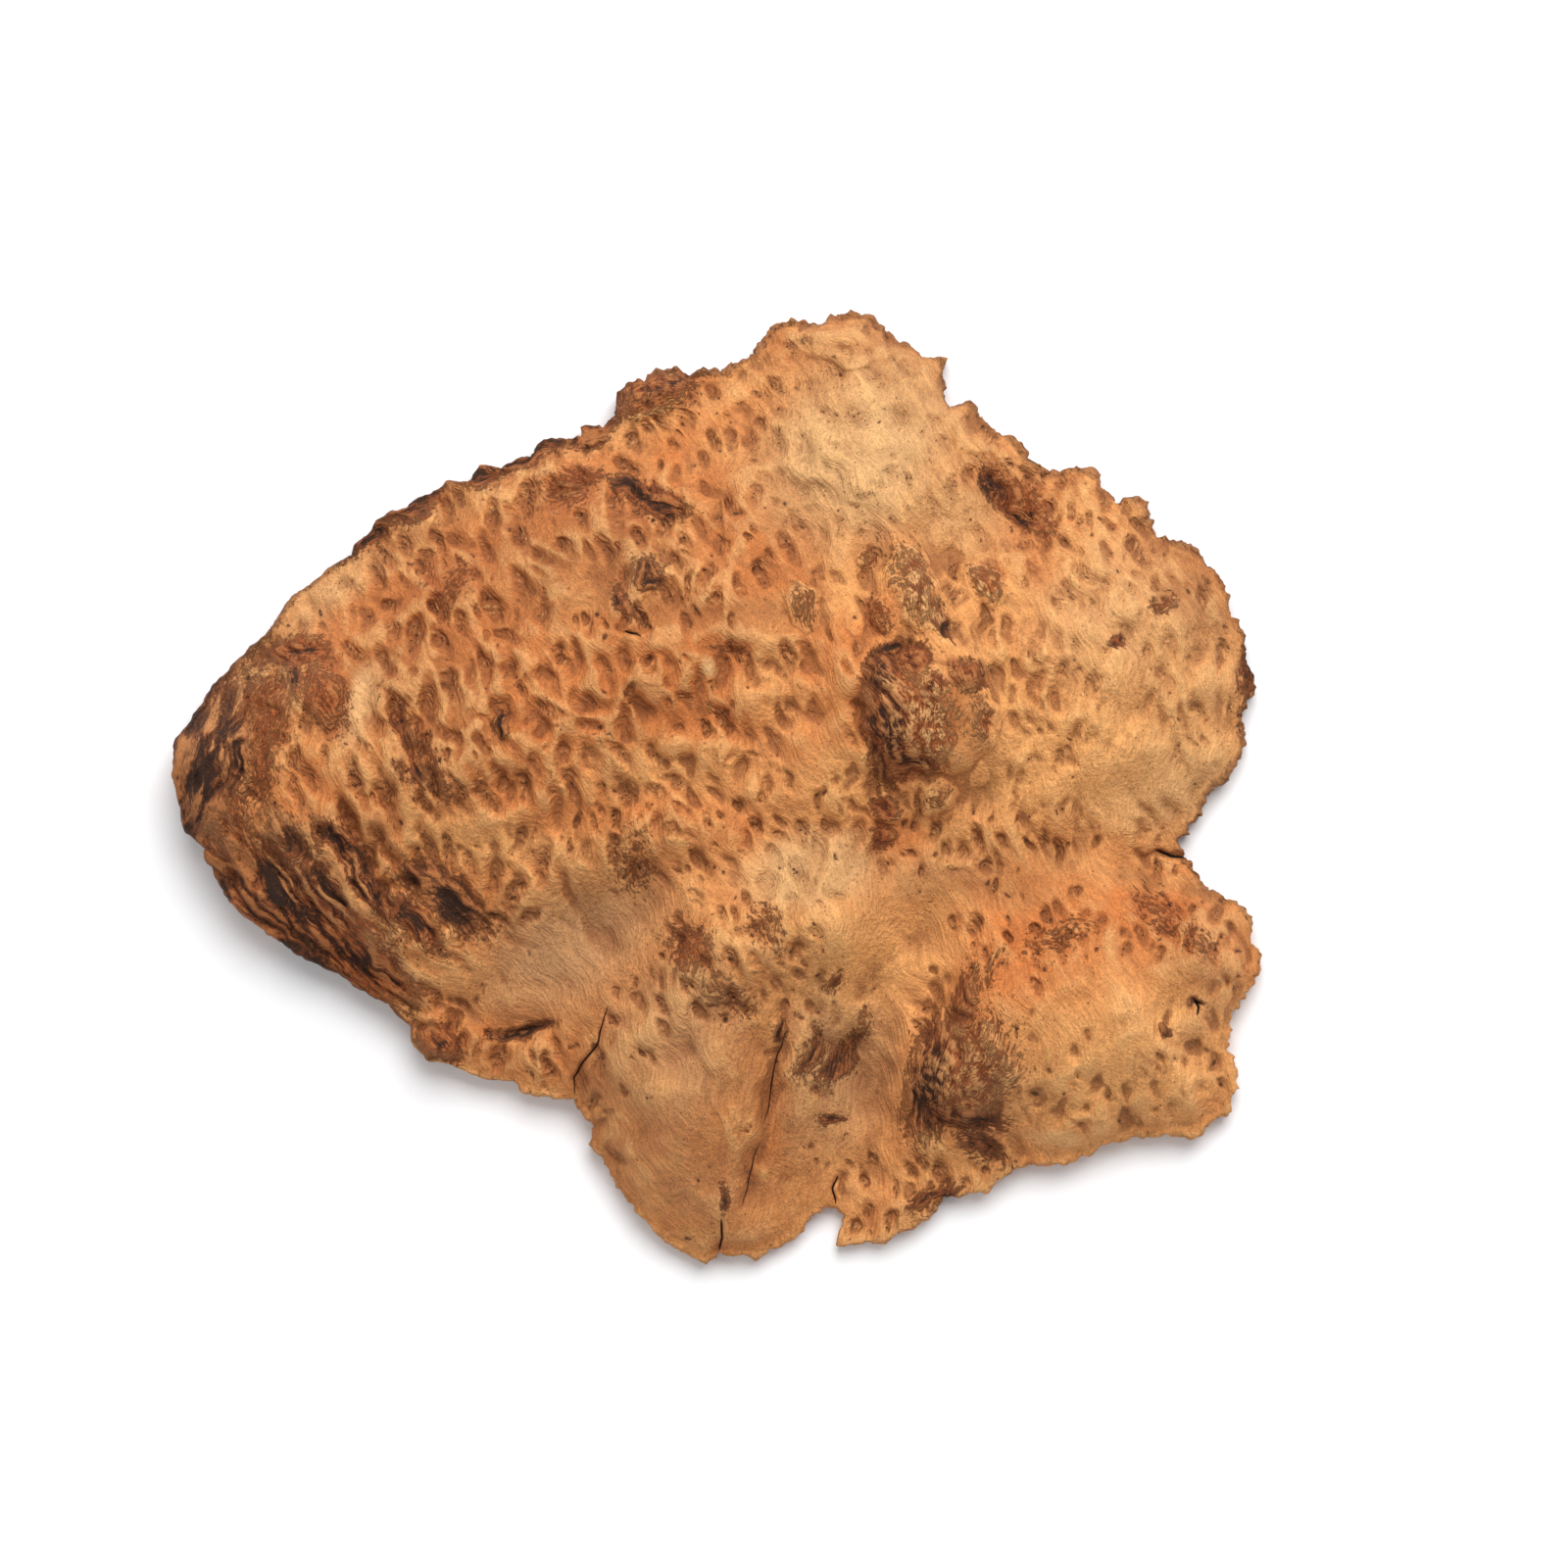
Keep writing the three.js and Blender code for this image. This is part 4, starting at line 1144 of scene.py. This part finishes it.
def noise_node(tree, vector, size, detail=4.0, roughness=0.6):
    sockets = {"Vector": vector, "Scale": 1 / size, "Detail": detail, "Roughness": roughness}
    return put(tree, "ShaderNodeTexNoise", sockets).outputs[0]


def attribute(tree, name, output="Fac"):
    return put(tree, "ShaderNodeAttribute", attribute_name=name).outputs[output]


def millimetres(tree):
    position = put(tree, "ShaderNodeTexCoord").outputs["Object"]
    return scaled(tree, position, (1 / MM,) * 3)


def new_group(name, inputs, outputs):
    """An empty shader group with its sockets, given as name and type."""
    tree = bpy.data.node_groups.new(name, "ShaderNodeTree")
    for direction, sockets in (("INPUT", inputs), ("OUTPUT", outputs)):
        for label, kind in sockets.items():
            tree.interface.new_socket(label, in_out=direction, socket_type="NodeSocket" + kind)
    start = tree.nodes.new("NodeGroupInput")
    end = tree.nodes.new("NodeGroupOutput")
    return tree, start.outputs, end.inputs


def fibre_group():
    """Fibre streaks from grain coordinates, with fine threads inside them."""
    tree, given, made = new_group(
        "Fibre streaks",
        {"Grain": "Vector", "Length": "Float", "Width": "Float"},
        {"Streak": "Float", "Thread": "Float"},
    )
    across = maths(tree, "DIVIDE", 1.0, given["Width"])
    along = maths(tree, "DIVIDE", 1.0, given["Length"])
    stretch = put(tree, "ShaderNodeCombineXYZ", {0: along, 1: across, 2: across}).outputs[0]
    laid = scaled(tree, given["Grain"], stretch)
    tree.links.new(noise_node(tree, laid, 1, 3), made["Streak"])
    tree.links.new(noise_node(tree, laid, 0.28, 3, 0.7), made["Thread"])
    return tree


def pits_group():
    """Pin-sized holes where the given mask is high."""
    tree, given, made = new_group(
        "Pin pits",
        {"Position": "Vector", "Where": "Float", "Spacing": "Float", "Size": "Float"},
        {"Pits": "Float"},
    )
    scale = maths(tree, "DIVIDE", 1.0, given["Spacing"])
    cells = put(tree, "ShaderNodeTexVoronoi", {"Vector": given["Position"], "Scale": scale})
    here = maths(tree, "MULTIPLY", given["Size"], given["Where"])
    edge = maths(tree, "MULTIPLY", here, 0.55)
    hole = put(
        tree,
        "ShaderNodeMapRange",
        {"Value": cells.outputs["Distance"], "From Min": here, "From Max": edge},
        interpolation_type="SMOOTHSTEP",
    ).outputs[0]
    tree.links.new(maths(tree, "MULTIPLY", hole, between(tree, here, 0.03, 0.12)), made["Pits"])
    return tree


def ragged_group():
    """A soft mask cut to a crisp one whose edge follows fine grit."""
    tree, given, made = new_group(
        "Ragged mask",
        {"Potential": "Float", "Grit": "Float", "Amount": "Float", "Level": "Float", "Softness": "Float"},
        {"Mask": "Float"},
    )
    pushed = maths(tree, "MULTIPLY", maths(tree, "SUBTRACT", given["Grit"], 0.5), given["Amount"])
    value = maths(tree, "ADD", given["Potential"], pushed)
    start = maths(tree, "SUBTRACT", given["Level"], given["Softness"])
    end = maths(tree, "ADD", given["Level"], given["Softness"])
    tree.links.new(between(tree, value, start, end), made["Mask"])
    return tree


GROUPS = {"fibre": fibre_group(), "pits": pits_group(), "ragged": ragged_group()}


def use(tree, group, sockets):
    return put(tree, "ShaderNodeGroup", sockets, node_tree=GROUPS[group]).outputs


def new_material(name):
    material = bpy.data.materials.new(name)
    material.use_nodes = True
    return material, material.node_tree, material.node_tree.nodes["Principled BSDF"]


BEAD_LENGTH = 2.6
BEAD_WIDTH = 1.8
SAWN_SWIRL = 24

# Colours of the burl, as seen on screen
TAN = srgb(218, 151, 90)
PALE = srgb(213, 163, 109)
# Painted light, for slopes that fall in shade.
PAINTED_LIGHT = srgb(241, 171, 103)
ORANGE = srgb(200, 116, 59)
GREY = srgb(188, 138, 92)
# Darker wood tone, also used as painted shade.
DUN_AND_SHADE = srgb(160, 99, 53)
BUD_BROWN = srgb(135, 76, 40)
# Painted shade for hollows, creases and the gaps between beads.
HOLLOW_SHADE = srgb(127, 70, 36)
# Painted highlight for crests and bead tops.
CREST_HIGHLIGHT = srgb(235, 180, 116)
CLUSTER_TAN = srgb(177, 112, 61)
# Pale fibre flecks, also a painted highlight on the highest crests.
FLECK_AND_HIGHLIGHT = srgb(236, 176, 114)
RIM_BROWN = srgb(132, 80, 46)
# The bark's own darkest colour, also painted shade in its crevices.
BARK_DARK_AND_SHADE = srgb(62, 39, 27)
BARK_BROWN = srgb(132, 78, 46)
BARK_RUST = srgb(168, 90, 46)
# Painted highlight on the bark's crests.
BARK_CREST_HIGHLIGHT = srgb(186, 118, 68)
PIT_DARK = srgb(72, 42, 26)
CRACK_DARK = srgb(36, 23, 15)
SAWN_LIGHT = srgb(208, 146, 94)
SAWN_DARK = srgb(160, 94, 54)


def burl_wood():
    """The natural surface: bare tan wood, brown bud clusters with pits, rusty stains and dark bark, with
    painted shade in hollows, creases and crevices, painted highlights on crests, and painted light on
    slopes in shade.
    """
    material, tree, shader = new_material("burl_wood")
    at = millimetres(tree)
    grain = attribute(tree, "grain", "Vector")
    fibre = use(tree, "fibre", {"Grain": grain, "Length": 9.0, "Width": 0.9})
    cloud = noise_node(tree, at, 14, 5)
    grit = noise_node(tree, at, 2.2, 6, 0.65)
    fine = noise_node(tree, at, 0.7, 3, 0.6)

    def masked(potential, grit, amount, level, softness):
        sockets = {"Potential": potential, "Grit": grit, "Amount": amount}
        sockets.update({"Level": level, "Softness": softness})
        return use(tree, "ragged", sockets)["Mask"]

    def times(a, b):
        return maths(tree, "MULTIPLY", a, b)

    def plus(a, b):
        return maths(tree, "ADD", a, b)

    colour = blend(tree, between(tree, cloud, 0.3, 0.7, 0.0, 0.6), TAN, ORANGE)
    colour = blend(tree, masked(attribute(tree, "orange"), cloud, 0.6, 0.45, 0.4), colour, ORANGE)
    # Dun tone: the wood's own darker tone, and painted shade on slopes below the ridges.
    dun_and_shade = times(attribute(tree, "dun_and_shade"), between(tree, cloud, 0.3, 0.7, 0.5, 1.0))
    colour = blend(tree, dun_and_shade, colour, DUN_AND_SHADE)
    colour = blend(tree, masked(attribute(tree, "grey"), cloud, 0.5, 0.5, 0.4), colour, GREY)
    colour = blend(tree, masked(attribute(tree, "pale"), cloud, 0.5, 0.5, 0.4), colour, PALE)
    # Painted light: slopes that the relief leaves in shade are made lighter.
    colour = blend(tree, attribute(tree, "light"), colour, PAINTED_LIGHT)
    hollow = attribute(tree, "hollow")
    plain = between(tree, attribute(tree, "pale"), 0.1, 0.7, 1.0, 0.3)
    cluster = times(attribute(tree, "cluster"), between(tree, cloud, 0.35, 0.65, 0.2, 1.0))
    colour = blend(tree, times(cluster, 0.35), colour, CLUSTER_TAN)
    # Painted shade in the hollows of the relief, and painted highlight on its crests.
    colour = blend(tree, times(plain, between(tree, hollow, 0.05, 0.8, 0.0, 0.6)), colour, HOLLOW_SHADE)
    colour = blend(tree, between(tree, hollow, -0.1, -0.9, 0.0, 0.4), colour, CREST_HIGHLIGHT)
    # Brown stain of the pods, darker at their upper ends as painted shade.
    brown = times(attribute(tree, "brown"), between(tree, grit, 0.3, 0.65, 0.3, 1.1))
    # Less pod brown where the painted light lies.
    calm = between(tree, attribute(tree, "light"), 0.1, 0.7, 1.0, 0.45)
    colour = blend(tree, times(times(times(brown, plain), calm), 0.4), colour, BUD_BROWN)
    # Beads in the pods: painted shade in the gaps between them and painted highlight on their tops.
    laid = scaled(tree, grain, (1 / BEAD_LENGTH, 1 / BEAD_WIDTH, 0))
    bead = put(tree, "ShaderNodeTexVoronoi", {"Vector": laid, "Scale": 1.0}).outputs["Distance"]
    podded = times(times(between(tree, attribute(tree, "brown"), 0.1, 0.7), plain), calm)
    colour = blend(tree, times(podded, between(tree, bead, 0.4, 0.66, 0.0, 0.32)), colour, HOLLOW_SHADE)
    colour = blend(tree, times(podded, between(tree, bead, 0.34, 0.1, 0.0, 0.4)), colour, CREST_HIGHLIGHT)
    # Dark eyes at the pods' upper ends: dark pits with painted shade under the upper wall.
    eye = times(attribute(tree, "eye"), between(tree, grit, 0.35, 0.6, 0.3, 1.0))
    colour = blend(tree, times(eye, 0.4), colour, PIT_DARK)
    # Painted shade in the creases.
    crease = times(attribute(tree, "crease"), between(tree, grit, 0.3, 0.6, 0.1, 0.4))
    colour = blend(tree, crease, colour, HOLLOW_SHADE)
    rim = masked(attribute(tree, "rim"), grit, 1.0, 0.7, 0.4)
    colour = blend(tree, times(rim, 0.75), colour, RIM_BROWN)
    streak = between(tree, fibre["Streak"], 0.35, 0.68, 0.86, 1.1)
    colour = blend(tree, 1.0, colour, streak, "MULTIPLY")
    ripple = use(tree, "fibre", {"Grain": grain, "Length": 26.0, "Width": 2.1})["Streak"]
    colour = blend(tree, 1.0, colour, between(tree, ripple, 0.35, 0.65, 0.92, 1.06), "MULTIPLY")
    speck = between(tree, fine, 0.3, 0.62, 0.8, 1.1)
    colour = blend(tree, 1.0, colour, speck, "MULTIPLY")

    red = masked(attribute(tree, "red"), cloud, 0.5, 0.25, 0.25)
    colour = blend(tree, times(red, 0.65), colour, BARK_RUST)
    strand = attribute(tree, "strand", "Vector")
    hairs = use(tree, "fibre", {"Grain": strand, "Length": 6.0, "Width": 0.9})["Streak"]
    scab = attribute(tree, "scab")
    crest = plus(times(scab, 0.22), plus(times(hairs, 0.9), times(grit, 0.4)))
    dark = plus(attribute(tree, "bark"), times(attribute(tree, "rim"), 0.2))
    bark = masked(dark, plus(times(hairs, 0.5), times(grit, 0.5)), 2.0, 0.4, 0.14)
    bark_colour = blend(tree, red, BARK_BROWN, BARK_RUST)
    # Bark strands: painted highlight on their crests; near black where the bark is darkest and in the low
    # crevices between strands, its own colour with painted shade.
    bark_colour = blend(tree, between(tree, crest, 0.66, 0.9, 0.0, 0.9), bark_colour, BARK_CREST_HIGHLIGHT)
    dark_and_shade = plus(times(dark, 0.9), times(maths(tree, "SUBTRACT", 0.69, crest), 1.5))
    bark_colour = blend(tree, between(tree, dark_and_shade, 0.5, 1.0), bark_colour, BARK_DARK_AND_SHADE)
    # Pale flecks on the highest crests: pale fibres and painted highlight.
    fleck_and_highlight = times(attribute(tree, "fleck_and_highlight"), between(tree, plus(crest, times(scab, 0.2)), 0.7, 0.95))
    bark_colour = blend(tree, fleck_and_highlight, bark_colour, FLECK_AND_HIGHLIGHT)
    colour = blend(tree, bark, colour, bark_colour)

    pits = masked(attribute(tree, "pit"), grit, 0.6, 0.62, 0.2)
    pins = use(tree, "pits", {"Position": at, "Where": brown, "Spacing": 1.5, "Size": 0.5})["Pits"]
    specks = use(tree, "pits", {"Position": at, "Where": 1.0, "Spacing": 3.2, "Size": 0.13})["Pits"]
    colour = blend(tree, times(specks, 0.75), colour, BUD_BROWN)
    holes = maths(tree, "MAXIMUM", pits, pins)
    colour = blend(tree, times(holes, 0.85), colour, PIT_DARK)
    gap = maths(tree, "ABSOLUTE", attribute(tree, "crack_side"))
    width = attribute(tree, "crack_width")
    crack = between(tree, maths(tree, "SUBTRACT", width, gap), -0.12, 0.12)
    crack = times(crack, between(tree, width, 0.02, 0.1))
    colour = blend(tree, crack, colour, CRACK_DARK)
    tree.links.new(colour, shader.inputs["Base Color"])

    tree.links.new(plus(0.72, times(bark, 0.2)), shader.inputs["Roughness"])
    shader.inputs["Specular IOR Level"].default_value = 0.25
    height = plus(times(fibre["Streak"], 0.6), plus(times(grit, 0.8), times(fine, 0.25)))
    height = plus(height, times(ripple, 1.1))
    height = maths(tree, "SUBTRACT", height, times(podded, times(bead, 1.7)))
    height = plus(height, times(bark, times(crest, 1.6)))
    height = maths(tree, "SUBTRACT", height, plus(times(pins, 0.5), crack))
    bump = put(tree, "ShaderNodeBump", {"Strength": 1.0, "Distance": 1.0 * MM, "Height": height})
    tree.links.new(bump.outputs[0], shader.inputs["Normal"])
    return material


def sawn_face():
    """The flat saw cut: swirling figure, bird's eyes and faint saw marks."""
    material, tree, shader = new_material("sawn_face")
    at = millimetres(tree)
    swirl = put(tree, "ShaderNodeTexNoise", {"Vector": at, "Scale": 1 / 30, "Detail": 3.0}).outputs["Color"]
    pulled = {0: swirl, 1: (SAWN_SWIRL, SAWN_SWIRL, 0), 2: at}
    bent = put(tree, "ShaderNodeVectorMath", pulled, operation="MULTIPLY_ADD").outputs[0]
    fibre = use(tree, "fibre", {"Grain": bent, "Length": 26.0, "Width": 2.2})
    cloud = noise_node(tree, at, 22, 4)
    colour = blend(tree, between(tree, fibre["Streak"], 0.3, 0.7), SAWN_LIGHT, SAWN_DARK)
    eyes = use(tree, "pits", {"Position": at, "Where": cloud, "Spacing": 7.0, "Size": 0.34})["Pits"]
    colour = blend(tree, maths(tree, "MULTIPLY", eyes, 0.8), colour, BARK_RUST)
    pins = use(tree, "pits", {"Position": at, "Where": cloud, "Spacing": 7.0, "Size": 0.12})["Pits"]
    colour = blend(tree, pins, colour, PIT_DARK)
    tree.links.new(colour, shader.inputs["Base Color"])
    shader.inputs["Roughness"].default_value = 0.6
    saw = put(tree, "ShaderNodeTexWave", {"Vector": at, "Scale": 0.35, "Distortion": 1.5}).outputs["Fac"]
    marks = maths(tree, "MULTIPLY", saw, 0.4)
    height = maths(tree, "ADD", marks, maths(tree, "MULTIPLY", fibre["Thread"], 0.3))
    bump = put(tree, "ShaderNodeBump", {"Strength": 0.4, "Distance": 0.5 * MM, "Height": height})
    tree.links.new(bump.outputs[0], shader.inputs["Normal"])
    return material


def add_object(name, data):
    made = bpy.data.objects.new(name, data)
    bpy.context.scene.collection.objects.link(made)
    return made


def build_burl():
    mesh = thinned(burl_mesh())
    store_masks(mesh)
    mesh.materials.append(burl_wood())
    mesh.materials.append(sawn_face())
    piece = add_object("burl", mesh)
    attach(piece, "root")
    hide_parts("burl_cap")


# The studio
CAMERA_HEIGHT = 2.6  # metres
SENSOR = 36
RIM_HEIGHT = 10
FLOOR_HALF = 6.0  # metres
FLOOR_DROP = 0.0004  # metres
FLOOR_WHITE = (0.95, 0.95, 0.96, 1)
FLOOR_SHADE = (0.93, 0.93, 0.94, 1)
KEY_LIGHT = {"at": (0.45, 1.75, 2.4), "size": 2.4, "power": 112}
FILL_LIGHT = {"at": (-2.0, -1.0, 3.0), "size": 3.0, "power": 20}
WORLD_WHITE = (1, 1, 1, 1)
WORLD_STRENGTH = 0.38


def build_floor():
    sides = ((-1, -1), (1, -1), (1, 1), (-1, 1))
    corners = [(FLOOR_HALF * x, FLOOR_HALF * y, -FLOOR_DROP) for x, y in sides]
    mesh = bpy.data.meshes.new("floor")
    mesh.from_pydata(corners, [], [(0, 1, 2, 3)])
    material, tree, shader = new_material("floor_white")
    at = put(tree, "ShaderNodeTexCoord").outputs["Object"]
    tint = blend(tree, noise_node(tree, at, 0.5), FLOOR_SHADE, FLOOR_WHITE)
    tree.links.new(tint, shader.inputs["Base Color"])
    shader.inputs["Roughness"].default_value = 0.9
    mesh.materials.append(material)
    floor = add_object("floor", mesh)


def add_light(name, at, size, power):
    """A square soft light that looks at the part."""
    data = bpy.data.lights.new(name, "AREA")
    data.size = size
    data.energy = power
    light = add_object(name, data)
    light.location = at
    light.rotation_euler = (-Vector(at)).to_track_quat("-Z", "Y").to_euler()


def build_studio():
    build_floor()
    add_light("key", **KEY_LIGHT)
    add_light("fill", **FILL_LIGHT)
    world = bpy.data.worlds.new("studio")
    world.use_nodes = True
    background = world.node_tree.nodes["Background"]
    background.inputs["Color"].default_value = WORLD_WHITE
    background.inputs["Strength"].default_value = WORLD_STRENGTH
    bpy.context.scene.world = world
    bpy.context.scene.view_settings.view_transform = "Standard"
    camera = add_object("camera", bpy.data.cameras.new("camera"))
    middle = place((VIEW_SIZE / 2, VIEW_SIZE / 2))
    camera.location = (middle[0] * MM, middle[1] * MM, CAMERA_HEIGHT)
    seen = VIEW_SIZE * MM_PER_PIXEL * MM
    camera.data.sensor_width = SENSOR
    camera.data.lens = SENSOR * (CAMERA_HEIGHT - RIM_HEIGHT * MM) / seen
    bpy.context.scene.camera = camera


build_burl()
build_studio()
